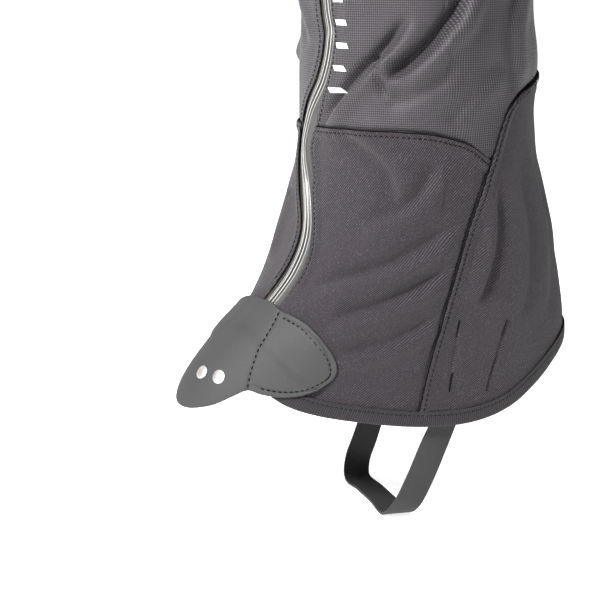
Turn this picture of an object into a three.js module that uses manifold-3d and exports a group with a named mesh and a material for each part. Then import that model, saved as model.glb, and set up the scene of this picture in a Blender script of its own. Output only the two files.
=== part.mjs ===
// A hiking gaiter with a front zip, in its worn shape, in millimetres.
// The wearer faces -X, the wearer's left is -Y and +Z is up. The origin is on the upper face of
// the instep strap, where the arch of the boot rests.
//
// Every soft piece is laid out flat, like a sewing pattern, and then wrapped onto the skin: the
// smooth outer face of the cloth round the leg and boot. A place on the skin is an angle, from 0
// at the shin through 90 at the wearer's left to 180 at the heel, and a height. Lift is the
// distance outwards from the skin.
import * as THREE from "three";
import { mergeVertices } from "three/addons/utils/BufferGeometryUtils.js";
import Module from "manifold-3d";

const wasm = await Module();
wasm.setup();

// ---- Driving dimensions ----

const gap = 0.4; // between pieces that meet edge to edge
const layerGap = 0.35; // between pieces that lie on each other

// The leg and boot inside: reach towards the toe, reach towards the heel and half the width.
const cuffTop = 474;
const shaftFoot = 285; // the shaft is a plain cone from here up, so the zip is straight there
const cuffSection = { height: cuffTop, front: 46, back: 88, half: 70 };
const shaftSection = { height: shaftFoot, front: 41, back: 85, half: 63.5 };
const bootSections = [
  { height: 45, front: 116, back: 108, half: 50 },
  { height: 60, front: 113, back: 109, half: 52 },
  { height: 80, front: 102, back: 110, half: 53 },
  { height: 100, front: 84, back: 109, half: 55 },
  { height: 120, front: 68, back: 107, half: 57 },
  { height: 145, front: 54, back: 102, half: 59 },
  { height: 170, front: 47, back: 96, half: 60 },
  { height: 200, front: 43, back: 90, half: 61 },
  { height: 240, front: 41, back: 87, half: 62 },
];
const wide = 0.25; // how far back the widest point lies, as a share of back less front

// Cloth and its seams.
const cloth = 1.0; // thickness of the panels
const bindingDepth = 8.5; // height of the folded tape round the hem
const bindingCloth = 0.8;
const tuckedIn = bindingDepth - bindingCloth - 1.2; // how far the panels reach into the binding
const hemLine = [ // upper edge of the binding on the wearer's left: angle, height
  [0, 97], [20, 96], [40, 86.5], [57, 73.5], [80, 64.5], [95, 60.5], [110, 60],
  [122, 64.5], [133, 74], [145, 84.5], [160, 93], [180, 98],
];
const toeTop = 209; // top of the lower panel beside the zip
const lowerPanelTop = [[40, 209.5], [67, 209], [85, 207.5], [94, 205], [102, 201]];
const rearSeamAngle = 93; // where the rear seams meet the hem
const rearSeamLow = [[94, 85], [94.5, 112], [96, 130], [99.5, 153], [105, 174]];
const seamJunction = [111, 192]; // where the three left panels meet
const rearSeamHigh = [[117, 209], [122, 219], [131, 226]];
const heelCorner = [146, 231];
const heelTop = [180, 237];

// Zip: its line on the skin as height and angle, from the hem up.
const zipAngle = 18;
const zipLine = [
  [85, 15], [115, 17], [135, 20], [156, 18.5], [178, 9], [198, -1.5],
  [214, 4], [235, 18], [252, 23], [270, 19.5],
];
const zipOpening = 6.5; // from the zip's centre to each panel
const tapeWidth = 13;
const tapeCloth = 0.9;
const tapeGap = 0.5; // between the tapes and the panels over them
const zipSlit = 0.7; // from the centre to each tape, where the slider's web runs
const coilWidth = 2.5;
const coilHeight = 1.5;
const stopHeight = 3;
const boxHeight = 7.5;
const pinLength = 15;
const pinRadius = 0.8;

// Slider and puller.
const sliderDrop = 14; // from the cuff's lower edge to the slider's middle
const sliderLength = 13;
const sliderWidth = 9.6;
const sliderPlate = 1.2;
const webHalf = 0.4;
const bridge = { length: 9, width: 2.2, height: 3.6, wall: 1.3 };
const puller = { thick: 1.4, length: 32, width: 7, ringWidth: 5.8, bar: 1.4, slack: 0.4 };

// Cuff.
const cuffHeight = 26;
const cuffThick = 4;
const cuffProud = 0.6; // the cuff's outer face beyond the skin
const cuffCloth = 0.8;
const cuffOpening = 8; // from the zip's centre to each end of the cuff
const elasticWidth = 20;
const tab = { height: 22, hinge: 14, base: 17, reach: 30, thick: 1 };
const fastener = 0.8; // thickness of each half of the hook-and-loop fastening

// Front flap, a sheet of rubber-coated cloth: its stitched line, then its outline.
const flapThick = 1.2;
const stitchTop = [27.5, 114.5];
const stitchFoot = [38.5, 74.5];
const flapTop = [[19, 117.5], [9, 117.5], [-1, 116]];
const flapFarTop = [-13, 112];
const flapFar = [[-21, 104], [-25, 93]];
const flapFarFoot = [-22, 81];
const flapFoot = [[-15, 75], [-8, 69], [0, 63.5], [8, 61.5], [17, 62], [27, 65.5], [34, 71]];
const lobeTop = [[38, 113], [47, 109]];
const lobeTopCorner = [54, 102.5];
const lobeSide = [[59.5, 96], [63.5, 88], [64.5, 82]];
const lobeFootCorner = [62, 76.5];
const lobeFoot = [[57, 73], [50.5, 72], [44, 73]];
const patch = { from: -19, to: -3, low: 98.5, high: 109.5 };

// Lace hook and its two rivets.
const rivetAngle = 17.7;
const rivetHeight = 79;
const rivetSpacing = 11.5;
const rivet = { head: 4, dome: 1.3, shank: 1.5, burr: 3.1, burrThick: 0.8, tail: 0.5 };
const hook = { width: 20, neck: 12, thick: 1, above: 5, below: 13, mouth: 5.2, lip: 10 };

// Instep strap, its buckle and keeper. Routes are the strap's centreline.
const strap = { width: 15, thick: 1.5 };
const archHalf = 33; // flat stretch under the boot
const anchorRoute = [ // angle, height and depth inside the skin
  [108, 105, 2.8], [107, 92, 2.8], [105.5, 76, 2.9], [104, 63, 3.9], [102.5, 51, 4.3],
];
const anchorLean = -20;
const anchorPad = { low: 77, high: 108, from: [99.5, 101], to: [115, 117], depth: 4.1, thick: 0.9 };
const leftRoute = [[15.5, -45.6, 38], [9, -43.3, 20], [3.2, -41.2, 7]];
const rightRoute = [[3.2, 41.2, 7], [9, 43.8, 20], [16, 47.6, 38]];
const buckleAngle = -104.5;
const buckleHeight = 74;
const buckleLean = 17; // degrees that the buckle leans back
const buckle = { half: 9, wide: 11.5, wire: 1.4 };
const prongWire = 1.1;
const tabLength = 34; // the webbing that holds the buckle
const tabWidth = 17;
const tabThick = 1.2;
const prongSlot = 4;
const freeEnd = 50; // the strap's end above the buckle
const keeper = { width: 6, wall: 1, height: 17 };
const strapHoles = { count: 4, pitch: 9, radius: 1.7 };

// ---- The skin ----

const rad = THREE.MathUtils.degToRad;
const knots = [...bootSections, shaftSection, cuffSection];
const spline = new THREE.CubicInterpolant(
  knots.map((k) => k.height),
  knots.flatMap((k) => [k.front, k.back, k.half]),
  3,
);

function sectionAt(height) {
  if (height < shaftFoot) {
    const [front, back, half] = spline.evaluate(Math.max(height, knots[0].height));
    return { front, back, half };
  }
  const share = (height - shaftFoot) / (cuffTop - shaftFoot);
  const mix = (key) => THREE.MathUtils.lerp(shaftSection[key], cuffSection[key], share);
  return { front: mix("front"), back: mix("back"), half: mix("half") };
}

// A point of the skin itself. The angle is in degrees.
function bare(angle, height) {
  const { front, back, half } = sectionAt(height);
  const centre = (back - front) * wide;
  const c = Math.cos(rad(angle));
  const reach = c > 0 ? front + centre : back - centre;
  return new THREE.Vector3(centre - reach * c, -half * Math.sin(rad(angle)), height);
}

// Directions on the skin at a place: round the leg, up the skin, and outwards.
function directions(angle, height) {
  const here = bare(angle, height);
  const round = bare(angle + 0.05, height).sub(here).divideScalar(0.05);
  const up = bare(angle, height + 0.05).sub(here).divideScalar(0.05);
  const out = round.clone().cross(up).normalize();
  return { here, round, up, out };
}

function skin(angle, height, lift = 0) {
  const { here, out } = directions(angle, height);
  return here.addScaledVector(out, lift);
}

// Moves a place on the skin by millimetres round the leg and up the skin.
function stepFrom([angle, height], along, rise) {
  const { round, up } = directions(angle, height);
  return [angle + along / round.length(), height + rise / up.length()];
}

// A smooth function of one value through a list of [value, result] pairs.
function through(pairs) {
  const line = new THREE.CubicInterpolant(pairs.map((p) => p[0]), pairs.map((p) => p[1]), 1);
  const [low, high] = [pairs[0][0], pairs.at(-1)[0]];
  return (value) => line.evaluate(THREE.MathUtils.clamp(value, low, high))[0];
}

// A smooth line on the skin through places. It takes 0 to 1 and gives a place.
function seam(places) {
  const curve = new THREE.SplineCurve(places.map(([a, h]) => new THREE.Vector2(a, h)));
  return (t) => curve.getPoint(t).toArray();
}

const mirrored = (line) => (t) => {
  const [angle, height] = line(t);
  return [-angle, height];
};
const turned = (line) => (t) => {
  const [angle, height] = line(t);
  return [angle + 360, height];
};
const reversed = (line) => (t) => line(1 - t);
const smooth = (value, from, to) => {
  const share = THREE.MathUtils.clamp((value - from) / (to - from), 0, 1);
  return share * share * (3 - 2 * share);
};

const hemOnLeft = through(hemLine);
const hemHeight = (angle) => hemOnLeft(Math.abs(THREE.MathUtils.euclideanModulo(angle + 180, 360) - 180));
const zipOnLower = through([...zipLine, [shaftFoot, zipAngle], [cuffTop, zipAngle]]);
const zipCentre = (height) => (height < shaftFoot ? zipOnLower(height) : zipAngle);

// The place at a height that lies a distance to the wearer's left of the zip's centre.
function besideZip(height, across) {
  const angle = zipCentre(height);
  const { round } = directions(angle, height);
  const slope = ((zipCentre(height + 1) - zipCentre(height - 1)) / 2) * round.length();
  return [angle + (across * Math.hypot(1, slope)) / round.length(), height];
}

// ---- Making solids ----

// Bends a flat, closed geometry: each of its points goes where place(x, y, z) says.
function bend(geometry, place) {
  const flat = new THREE.BufferGeometry().setAttribute("position", geometry.getAttribute("position"));
  if (geometry.index) flat.setIndex(geometry.index);
  const made = mergeVertices(flat, 1e-4);
  const position = made.getAttribute("position");
  for (let i = 0; i < position.count; i++) {
    const p = place(position.getX(i), position.getY(i), position.getZ(i));
    position.setXYZ(i, p.x, p.y, p.z);
  }
  made.computeVertexNormals();
  return made;
}

function toSolid(geometry) {
  const merged = mergeVertices(
    new THREE.BufferGeometry()
      .setAttribute("position", geometry.getAttribute("position"))
      .setIndex(geometry.index),
    1e-4,
  );
  const vertProperties = new Float32Array(merged.getAttribute("position").array);
  const triVerts = new Uint32Array(merged.index.array);
  return new wasm.Manifold(new wasm.Mesh({ numProp: 3, vertProperties, triVerts }));
}

function toGeometry(solid) {
  const { vertProperties, triVerts } = solid.getMesh();
  const made = new THREE.BufferGeometry()
    .setAttribute("position", new THREE.BufferAttribute(vertProperties, 3))
    .setIndex(new THREE.BufferAttribute(triVerts, 1));
  made.computeVertexNormals();
  return made;
}

const joined = (...parts) =>
  toGeometry(parts.map(toSolid).reduce((whole, part) => whole.add(part)));
const cut = (body, ...tools) =>
  toGeometry(tools.map(toSolid).reduce((whole, tool) => whole.subtract(tool), toSolid(body)));

function block(x0, x1, y0, y1, z0, z1) {
  const made = new THREE.BoxGeometry(x1 - x0, y1 - y0, z1 - z0);
  return made.translate((x0 + x1) / 2, (y0 + y1) / 2, (z0 + z1) / 2);
}

// A cylinder along X, Y or Z.
function rod(radius, length, axis, sides = 16) {
  const made = new THREE.CylinderGeometry(radius, radius, length, sides);
  if (axis === "x") made.rotateZ(Math.PI / 2);
  if (axis === "z") made.rotateX(Math.PI / 2);
  return made;
}

// A rectangle with round corners as an outline, centred on x = 0.
function roundedOutline(width, y0, y1, radius) {
  const x = width / 2;
  const made = new THREE.Shape();
  made.moveTo(-x + radius, y0);
  made.lineTo(x - radius, y0);
  made.absarc(x - radius, y0 + radius, radius, -Math.PI / 2, 0, false);
  made.absarc(x - radius, y1 - radius, radius, 0, Math.PI / 2, false);
  made.absarc(-x + radius, y1 - radius, radius, Math.PI / 2, Math.PI, false);
  made.absarc(-x + radius, y0 + radius, radius, Math.PI, 1.5 * Math.PI, false);
  return made;
}

function plate(outline, z0, z1, curveSegments = 5) {
  const options = { depth: z1 - z0, bevelEnabled: false, curveSegments };
  return new THREE.ExtrudeGeometry(outline, options).translate(0, 0, z0);
}

// The four-sided patch of skin between lines: foot and top run with s, near and far with t.
function patchBetween(foot, top, near, far) {
  const corners = [foot(0), foot(1), top(0), top(1)];
  return (s, t) =>
    [0, 1].map((k) => {
      const sides = near(t)[k] * (1 - s) + far(t)[k] * s;
      const ends = foot(s)[k] * (1 - t) + top(s)[k] * t;
      const flat =
        (corners[0][k] * (1 - s) + corners[1][k] * s) * (1 - t) +
        (corners[2][k] * (1 - s) + corners[3][k] * s) * t;
      return sides + ends - flat;
    });
}

// A sheet of cloth over a patch, from one lift to another, half a gap inside the patch's lines.
// A lift is a number or a function of angle and height.
function sheet(place, inner, thickness, columns, rows) {
  const span = (a, b) => skin(...place(...a)).distanceTo(skin(...place(...b)));
  const insetS = gap / 2 / Math.min(span([0, 0], [1, 0]), span([0, 1], [1, 1]));
  const insetT = gap / 2 / Math.min(span([0, 0], [0, 1]), span([1, 0], [1, 1]));
  const flat = new THREE.BoxGeometry(1 - 2 * insetS, 1 - 2 * insetT, 1, columns, rows, 1);
  return bend(flat, (x, y, z) => {
    const [angle, height] = place(x + 0.5, y + 0.5);
    const base = typeof inner === "function" ? inner(angle, height) : inner;
    return skin(angle, height, base + (z > 0 ? thickness : 0));
  });
}

// A strip beside the zip, between two distances from its centre.
function zipStrip(from, to, low, high, inner, thickness, columns, rows) {
  const flat = new THREE.BoxGeometry(to - from, high - low, thickness, columns, rows, 1);
  flat.translate((from + to) / 2, (low + high) / 2, inner + thickness / 2);
  return bend(flat, (x, y, z) => skin(...besideZip(y, x), z));
}

// A frame on the skin for hardware: x round the leg, y up the skin and z outwards.
function frameAt(angle, height, lift, lean = 0) {
  const { up, out } = directions(angle, height);
  const y = up.clone().addScaledVector(out, -up.dot(out)).normalize();
  y.applyAxisAngle(out, rad(lean));
  const x = y.clone().cross(out);
  return new THREE.Matrix4().makeBasis(x, y, out).setPosition(skin(angle, height, lift));
}

// ---- The object ----

const finishes = {
  ripstop: { color: 0x4c474d, roughness: 0.6, metalness: 0 },
  twill: { color: 0x353236, roughness: 0.9, metalness: 0 },
  tape: { color: 0x2b2a2c, roughness: 0.9, metalness: 0 },
  zipTape: { color: 0x5e5c57, roughness: 0.35, metalness: 0 },
  nylon: { color: 0x1d1d1f, roughness: 0.45, metalness: 0 },
  rubber: { color: 0x47474a, roughness: 0.75, metalness: 0 },
  strap: { color: 0x3a393b, roughness: 0.6, metalness: 0 },
  elastic: { color: 0x222224, roughness: 0.9, metalness: 0 },
  steel: { color: 0xb9b6b4, roughness: 0.25, metalness: 1 },
};
const materials = Object.fromEntries(
  Object.entries(finishes).map(([name, look]) => [name, new THREE.MeshStandardMaterial(look)]),
);
const gaiter = new THREE.Group();

function add(name, geometry, finish, parent = gaiter) {
  const mesh = new THREE.Mesh(geometry, materials[finish]);
  mesh.name = name;
  parent.add(mesh);
  return mesh;
}

function groupAt(matrix) {
  const made = new THREE.Group();
  made.applyMatrix4(matrix);
  gaiter.add(made);
  return made;
}

// ---- Panels ----

const cuffFoot = cuffTop - cuffHeight;
const panelTop = cuffFoot;
const leftEdge = (height) => besideZip(height, zipOpening);
const rightEdge = (height) => besideZip(height, -zipOpening);
const tuckedHeight = (angle) => stepFrom([angle, hemHeight(angle)], 0, -tuckedIn)[1];

const rearSeamFoot = [rearSeamAngle, tuckedHeight(rearSeamAngle)];
const lowSeam = seam([rearSeamFoot, ...rearSeamLow, seamJunction]);
const highSeam = seam([seamJunction, ...rearSeamHigh, heelCorner]);
const crownSeam = seam([heelCorner, heelTop]);
const lerp = THREE.MathUtils.lerp;

// The lower edge of the panels, hidden in the binding, from one angle to another.
const tuckedEdge = (from, to) => (t) => {
  const angle = lerp(from, to, t);
  return [angle, tuckedHeight(angle)];
};
const edgeLine = (edge, low, high) => (t) => edge(lerp(low, high, t));
const across = (from, to) => (t) => [lerp(from[0], to[0], t), lerp(from[1], to[1], t)];

// Runs two lines one after the other, the first over the given share.
const then = (first, second, share) => (t) =>
  t < share ? first(t / share) : second((t - share) / (1 - share));

function makePanels() {
  const toeLeft = leftEdge(toeTop);
  const toeRight = rightEdge(toeTop);
  const leftTop = seam([toeLeft, ...lowerPanelTop, seamJunction]);
  const flip = ([angle, height]) => [-angle, height];
  const rightTop = seam([flip(seamJunction), ...lowerPanelTop.map(flip).reverse(), toeRight]);
  const footOf = (edge) => edge(tuckedHeight(edge(hemHeight(zipAngle))[0]));
  const leftFoot = footOf(leftEdge);
  const rightFoot = footOf(rightEdge);

  const leftLower = patchBetween(
    tuckedEdge(leftFoot[0], rearSeamAngle),
    leftTop,
    edgeLine(leftEdge, leftFoot[1], toeTop),
    lowSeam,
  );
  const rightLower = patchBetween(
    tuckedEdge(-rearSeamAngle, rightFoot[0]),
    rightTop,
    mirrored(lowSeam),
    edgeLine(rightEdge, rightFoot[1], toeTop),
  );
  add("left_lower_panel", sheet(leftLower, -cloth, cloth, 22, 13), "twill");
  add("right_lower_panel", sheet(rightLower, -cloth, cloth, 24, 13), "twill");

  const sideSeam = then(lowSeam, highSeam, 0.72);
  const crown = then(crownSeam, turned(mirrored(reversed(crownSeam))), 0.5);
  const heel = patchBetween(
    tuckedEdge(rearSeamAngle, 360 - rearSeamAngle),
    crown,
    sideSeam,
    turned(mirrored(sideSeam)),
  );
  add("heel_panel", sheet(heel, -cloth, cloth, 40, 16), "twill");

  const rearRise = then(highSeam, crownSeam, 0.6);
  const leftUpper = patchBetween(
    then(leftTop, rearRise, 0.5),
    across(leftEdge(panelTop), [180, panelTop]),
    edgeLine(leftEdge, toeTop, panelTop),
    across(heelTop, [180, panelTop]),
  );
  const rightUpper = patchBetween(
    then(mirrored(reversed(rearRise)), rightTop, 0.5),
    across([-180, panelTop], rightEdge(panelTop)),
    across(flip(heelTop), [-180, panelTop]),
    edgeLine(rightEdge, toeTop, panelTop),
  );
  add("left_upper_panel", sheet(leftUpper, -cloth, cloth, 30, 15), "ripstop");
  add("right_upper_panel", sheet(rightUpper, -cloth, cloth, 32, 15), "ripstop");
}

// The tape folded over the lower edge of the panels: a U that opens upwards.
function makeBinding() {
  const outer = layerGap + bindingCloth;
  const inner = -cloth - layerGap - bindingCloth;
  const fold = -bindingDepth + bindingCloth;
  const profile = new THREE.Shape(
    [
      [0, outer], [-bindingDepth, outer], [-bindingDepth, inner], [0, inner],
      [0, inner + bindingCloth], [fold, inner + bindingCloth],
      [fold, outer - bindingCloth], [0, outer - bindingCloth],
    ].map(([x, y]) => new THREE.Vector2(x, y)),
  );
  const flat = new THREE.ExtrudeGeometry(profile, { depth: 1, steps: 96, bevelEnabled: false });
  const edgeHeight = hemHeight(zipAngle);
  const from = leftEdge(edgeHeight)[0];
  const to = 360 + rightEdge(edgeHeight)[0];
  const made = bend(flat, (down, lift, share) => {
    const angle = lerp(from, to, share);
    const { round, up } = directions(angle, hemHeight(angle));
    const rise = (hemHeight(angle + 1) - hemHeight(angle - 1)) / 2;
    const slope = (rise * up.length()) / round.length();
    const long = Math.hypot(1, slope);
    const place = stepFrom([angle, hemHeight(angle)], (-down * slope) / long, down / long);
    return skin(...place, lift);
  });
  add("hem_binding", made, "tape");
}

// ---- Zip ----

const zipFoot = hemHeight(zipAngle) + 1.5;
const zipHead = cuffFoot - 1;
const tapeInner = -cloth - tapeGap - tapeCloth;
const coilOuter = tapeInner - layerGap;
const coilInner = coilOuter - coilHeight;

function makeZip() {
  const rows = 48;
  const coilFrom = zipFoot + pinLength + 1;
  const coilTo = zipHead - stopHeight - gap;
  const coilEnd = zipSlit + coilWidth;
  const sides = [["left", 1], ["right", -1]];
  for (const [side, sign] of sides) {
    const strip = (from, to, ...rest) =>
      sign > 0 ? zipStrip(from, to, ...rest) : zipStrip(-to, -from, ...rest);
    const tape = strip(zipSlit, tapeWidth, zipFoot, zipHead, tapeInner, tapeCloth, 3, rows);
    add(`zip_tape_${side}`, tape, "zipTape");
    const coil = strip(zipSlit, coilEnd, coilFrom, coilTo, coilInner, coilHeight, 1, rows);
    add(`zip_coil_${side}`, coil, "nylon");
    const low = zipHead - stopHeight;
    const stop = strip(zipSlit, coilEnd, low, zipHead, coilInner, coilHeight, 1, 1);
    add(`zip_top_stop_${side}`, stop, "nylon");
  }
  makeSeparatingEnd();
}

// The box is on the left tape, and the pin on the right tape stands in it.
function makeSeparatingEnd() {
  const middle = (coilOuter + coilInner) / 2;
  const pinOff = -(zipSlit + pinRadius + 0.3);
  const frame = groupAt(frameAt(zipCentre(zipFoot), zipFoot, 0));
  const tall = middle - coilHeight / 2 - 0.9;
  const box = block(-3.9, 3.9, 0, boxHeight, tall, coilOuter - 0.1);
  const socket = rod(pinRadius + layerGap, boxHeight, "y", 12);
  socket.translate(pinOff, boxHeight / 2 + 1.5, middle);
  add("zip_retainer_box", cut(box, socket), "nylon", frame);
  const pin = rod(pinRadius, pinLength - 2, "y", 12);
  pin.translate(pinOff, 2 + (pinLength - 2) / 2, middle);
  add("zip_insertion_pin", pin, "nylon", frame);
}

const sliderHeight = cuffFoot - sliderDrop;

function makeSlider() {
  const frame = groupAt(frameAt(zipAngle, sliderHeight, 0));
  const outline = roundedOutline(sliderWidth, -sliderLength / 2, sliderLength / 2, 1.6);
  const topFace = -cloth + sliderPlate;
  const bottomFace = coilInner - layerGap - sliderPlate;
  const flange = coilOuter;
  const flangeIn = zipSlit + coilWidth + 0.4;
  const flangeOut = sliderWidth / 2;
  const wallEnd = sliderLength / 2 - 1.6;
  const foot = topFace - 0.2;
  const arch = new THREE.Shape();
  const half = bridge.length / 2;
  arch.moveTo(-half, foot);
  arch.lineTo(half, foot);
  arch.lineTo(half, topFace + bridge.height - 1.5);
  arch.lineTo(half - 1.5, topFace + bridge.height);
  arch.lineTo(-half + 1.5, topFace + bridge.height);
  arch.lineTo(-half, topFace + bridge.height - 1.5);
  const crown = plate(arch, -bridge.width / 2, bridge.width / 2);
  crown.rotateX(Math.PI / 2).rotateZ(Math.PI / 2);
  const window = block(
    -3, 3, -half + bridge.wall, half - bridge.wall, topFace, topFace + bridge.height - bridge.wall,
  );
  const body = joined(
    plate(outline, -cloth, topFace),
    plate(outline, bottomFace, bottomFace + sliderPlate),
    block(flangeIn, flangeOut, -wallEnd, wallEnd, bottomFace, flange),
    block(-flangeOut, -flangeIn, -wallEnd, wallEnd, bottomFace, flange),
    block(-webHalf, webHalf, 1, 5, bottomFace, topFace),
    crown,
  );
  add("zip_slider", cut(body, window), "steel", frame);
  makePuller(frame, topFace);
}

// A flat tab with a ring at its top. The ring's bar turns under the slider's bridge.
function makePuller(frame, topFace) {
  const { thick, length, width, ringWidth, bar, slack } = puller;
  const low = topFace + slack;
  const axisLift = low + thick / 2;
  const holeHalf = bridge.width / 2 + slack;
  const corner = Math.hypot(bridge.length / 2, topFace + bridge.height - axisLift);
  const holeFoot = -corner - slack;
  const outline = new THREE.Shape();
  outline.moveTo(-ringWidth / 2, bar / 2);
  outline.lineTo(-ringWidth / 2, holeFoot - 1);
  outline.lineTo(-width / 2, holeFoot - 4);
  outline.lineTo(-width / 2, -length + 2);
  outline.absarc(-width / 2 + 2, -length + 2, 2, Math.PI, 1.5 * Math.PI, false);
  outline.absarc(width / 2 - 2, -length + 2, 2, -Math.PI / 2, 0, false);
  outline.lineTo(width / 2, holeFoot - 4);
  outline.lineTo(ringWidth / 2, holeFoot - 1);
  outline.lineTo(ringWidth / 2, bar / 2);
  const flat = plate(outline, low, low + thick);
  const hole = block(-holeHalf, holeHalf, holeFoot, -bar / 2, low - 1, low + thick + 1);
  const eye = rod(1.6, thick + 2, "z").translate(0, -length + 5, axisLift);
  add("zip_puller", cut(flat, hole, eye), "steel", frame);
}

// ---- Cuff ----

// A strip round the cuff between two distances from the zip's centre, measured to the left.
function cuffStrip(from, to, low, high, inner, thickness, columns) {
  const flat = new THREE.BoxGeometry(to - from, high - low, thickness, columns, 1, 1);
  flat.translate((from + to) / 2, (low + high) / 2, inner + thickness / 2);
  return bend(flat, (x, y, z) => skin(...besideZip(y, x), z));
}

function makeCuff() {
  const outer = cuffProud;
  const inner = cuffProud - cuffThick;
  const foot = cuffFoot + gap;
  const ring = (low, high, inside, outside, ends, steps) => {
    const flat = new THREE.BoxGeometry(high - low, outside - inside, 1, 1, 1, steps);
    flat.translate((low + high) / 2, (inside + outside) / 2, 0.5);
    const [from] = besideZip(cuffFoot, ends);
    const to = 360 + besideZip(cuffFoot, -ends)[0];
    return bend(flat, (height, lift, share) => skin(lerp(from, to, share), height, lift));
  };
  const steps = 60;
  const shell = ring(foot, cuffTop, inner, outer, cuffOpening, steps);
  const hollow = ring(
    foot + cuffCloth, cuffTop - cuffCloth, inner + cuffCloth, outer - cuffCloth,
    cuffOpening - 1, steps,
  );
  add("cuff_channel", cut(shell, hollow), "ripstop");
  const middle = (foot + cuffTop) / 2;
  const low = middle - elasticWidth / 2;
  const high = middle + elasticWidth / 2;
  const slack = cuffCloth + gap;
  const elastic = ring(low, high, inner + slack, outer - slack, cuffOpening + 2, steps);
  add("cuff_elastic", elastic, "elastic");
}

// The strip that closes the cuff over the zip. Its base is sewn to the left end of the cuff.
function makeCuffTab() {
  const middle = (cuffFoot + cuffTop) / 2;
  const low = middle - tab.height / 2;
  const high = middle + tab.height / 2;
  const rest = cuffProud + layerGap;
  const loopFrom = -tab.reach + 2;
  const loopTo = -cuffOpening - 2;
  const rise = 2 * (fastener + layerGap);
  const base = cuffStrip(
    tab.hinge + gap / 2, tab.hinge + tab.base, low, high, rest, tab.thick, 4,
  );
  add("cuff_tab_base", base, "tape");
  const flat = new THREE.BoxGeometry(tab.hinge - gap / 2 + tab.reach, high - low, tab.thick, 14, 1, 1);
  flat.translate((tab.hinge - gap / 2 - tab.reach) / 2, middle, 0);
  const moving = bend(flat, (x, y, z) => {
    const lift = rest + rise * smooth(-x, -tab.hinge + 4, cuffOpening) + tab.thick / 2 + z;
    return skin(...besideZip(y, x), lift);
  });
  add("cuff_tab", moving, "tape");
  const loops = cuffStrip(loopFrom, loopTo, low + 2, high - 2, rest, fastener, 5);
  add("cuff_loop_patch", loops, "elastic");
  const lift = rest + fastener + layerGap;
  const hooks = cuffStrip(loopFrom, loopTo, low + 2, high - 2, lift, fastener, 5);
  add("cuff_hook_patch", hooks, "elastic");
}

// ---- Front flap ----

// The inner face of the flap and its lobe: close to the panel, raised over the binding at the
// hem and over the hook-and-loop fastening on the wearer's right.
function coverLift(angle, height) {
  const overBinding = 1 - smooth(height, hemHeight(angle) + 3, hemHeight(angle) + 9);
  const overFastener = smooth(-angle, -12, 0) * smooth(height, 88, 96);
  const binding = (bindingCloth + layerGap) * overBinding;
  return gap + Math.max(binding, (2 * fastener + 2 * layerGap) * overFastener);
}

function makeFlap() {
  const stitches = across(stitchFoot, stitchTop);
  const flap = patchBetween(
    seam([flapFarFoot, ...flapFoot, stitchFoot]),
    seam([flapFarTop, ...[...flapTop].reverse(), stitchTop]),
    seam([flapFarFoot, ...[...flapFar].reverse(), flapFarTop]),
    stitches,
  );
  const lobe = patchBetween(
    seam([stitchFoot, ...[...lobeFoot].reverse(), lobeFootCorner]),
    seam([stitchTop, ...lobeTop, lobeTopCorner]),
    stitches,
    seam([lobeFootCorner, ...[...lobeSide].reverse(), lobeTopCorner]),
  );
  add("flap_lobe", sheet(lobe, coverLift, flapThick, 10, 8), "rubber");
  const holes = rivetPlaces().map(([angle, height]) => {
    const hole = rod(rivet.shank + layerGap, 12, "z", 14);
    return hole.applyMatrix4(frameAt(angle, height, 0));
  });
  add("front_flap", cut(sheet(flap, coverLift, flapThick, 18, 12), ...holes), "rubber");

  const strip = (lift) => {
    const place = (s, t) => [lerp(patch.from, patch.to, s), lerp(patch.low, patch.high, t)];
    return sheet(place, lift, fastener, 5, 3);
  };
  add("flap_loop_patch", strip(layerGap), "elastic");
  add("flap_hook_patch", strip(fastener + 2 * layerGap), "elastic");
}

function rivetPlaces() {
  const centre = [rivetAngle, rivetHeight];
  return [-1, 1].map((side) => stepFrom(centre, (side * rivetSpacing) / 2, 0));
}

// A plate under the flap that runs down to a hook, open towards the ankle, for the boot's lace.
function makeLaceHook() {
  const plateOuter = coverLift(rivetAngle, rivetHeight) - layerGap;
  const plateInner = plateOuter - hook.thick;
  const bendRadius = hook.mouth / 2;
  const bendLift = plateInner - bendRadius;
  const outerRadius = bendRadius + hook.thick;
  const profile = new THREE.Shape();
  profile.moveTo(hook.above, plateOuter);
  profile.lineTo(-hook.below / 2, plateOuter);
  profile.lineTo(-hook.below, plateOuter);
  profile.absarc(-hook.below, bendLift, outerRadius, Math.PI / 2, 1.5 * Math.PI, false);
  profile.lineTo(-hook.below + hook.lip, bendLift - outerRadius);
  profile.lineTo(-hook.below + hook.lip, bendLift - bendRadius);
  profile.lineTo(-hook.below, bendLift - bendRadius);
  profile.absarc(-hook.below, bendLift, bendRadius, 1.5 * Math.PI, Math.PI / 2, true);
  profile.lineTo(-hook.below / 2, plateInner);
  profile.lineTo(hook.above, plateInner);
  const options = { depth: 1, steps: 8, bevelEnabled: false, curveSegments: 8 };
  const flat = new THREE.ExtrudeGeometry(profile, options);
  const bent = bend(flat, (rise, lift, share) => {
    const width = lerp(hook.neck, hook.width, smooth(rise, -hook.below / 2, -2));
    const place = stepFrom([rivetAngle, rivetHeight], (share - 0.5) * width, rise);
    return skin(...place, lift);
  });
  const holes = rivetPlaces().map(([angle, height]) => {
    const hole = rod(rivet.shank + layerGap, 3 * hook.thick, "z", 14);
    return hole.translate(0, 0, plateInner).applyMatrix4(frameAt(angle, height, 0));
  });
  add("lace_hook", cut(bent, ...holes), "steel");
}

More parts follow.
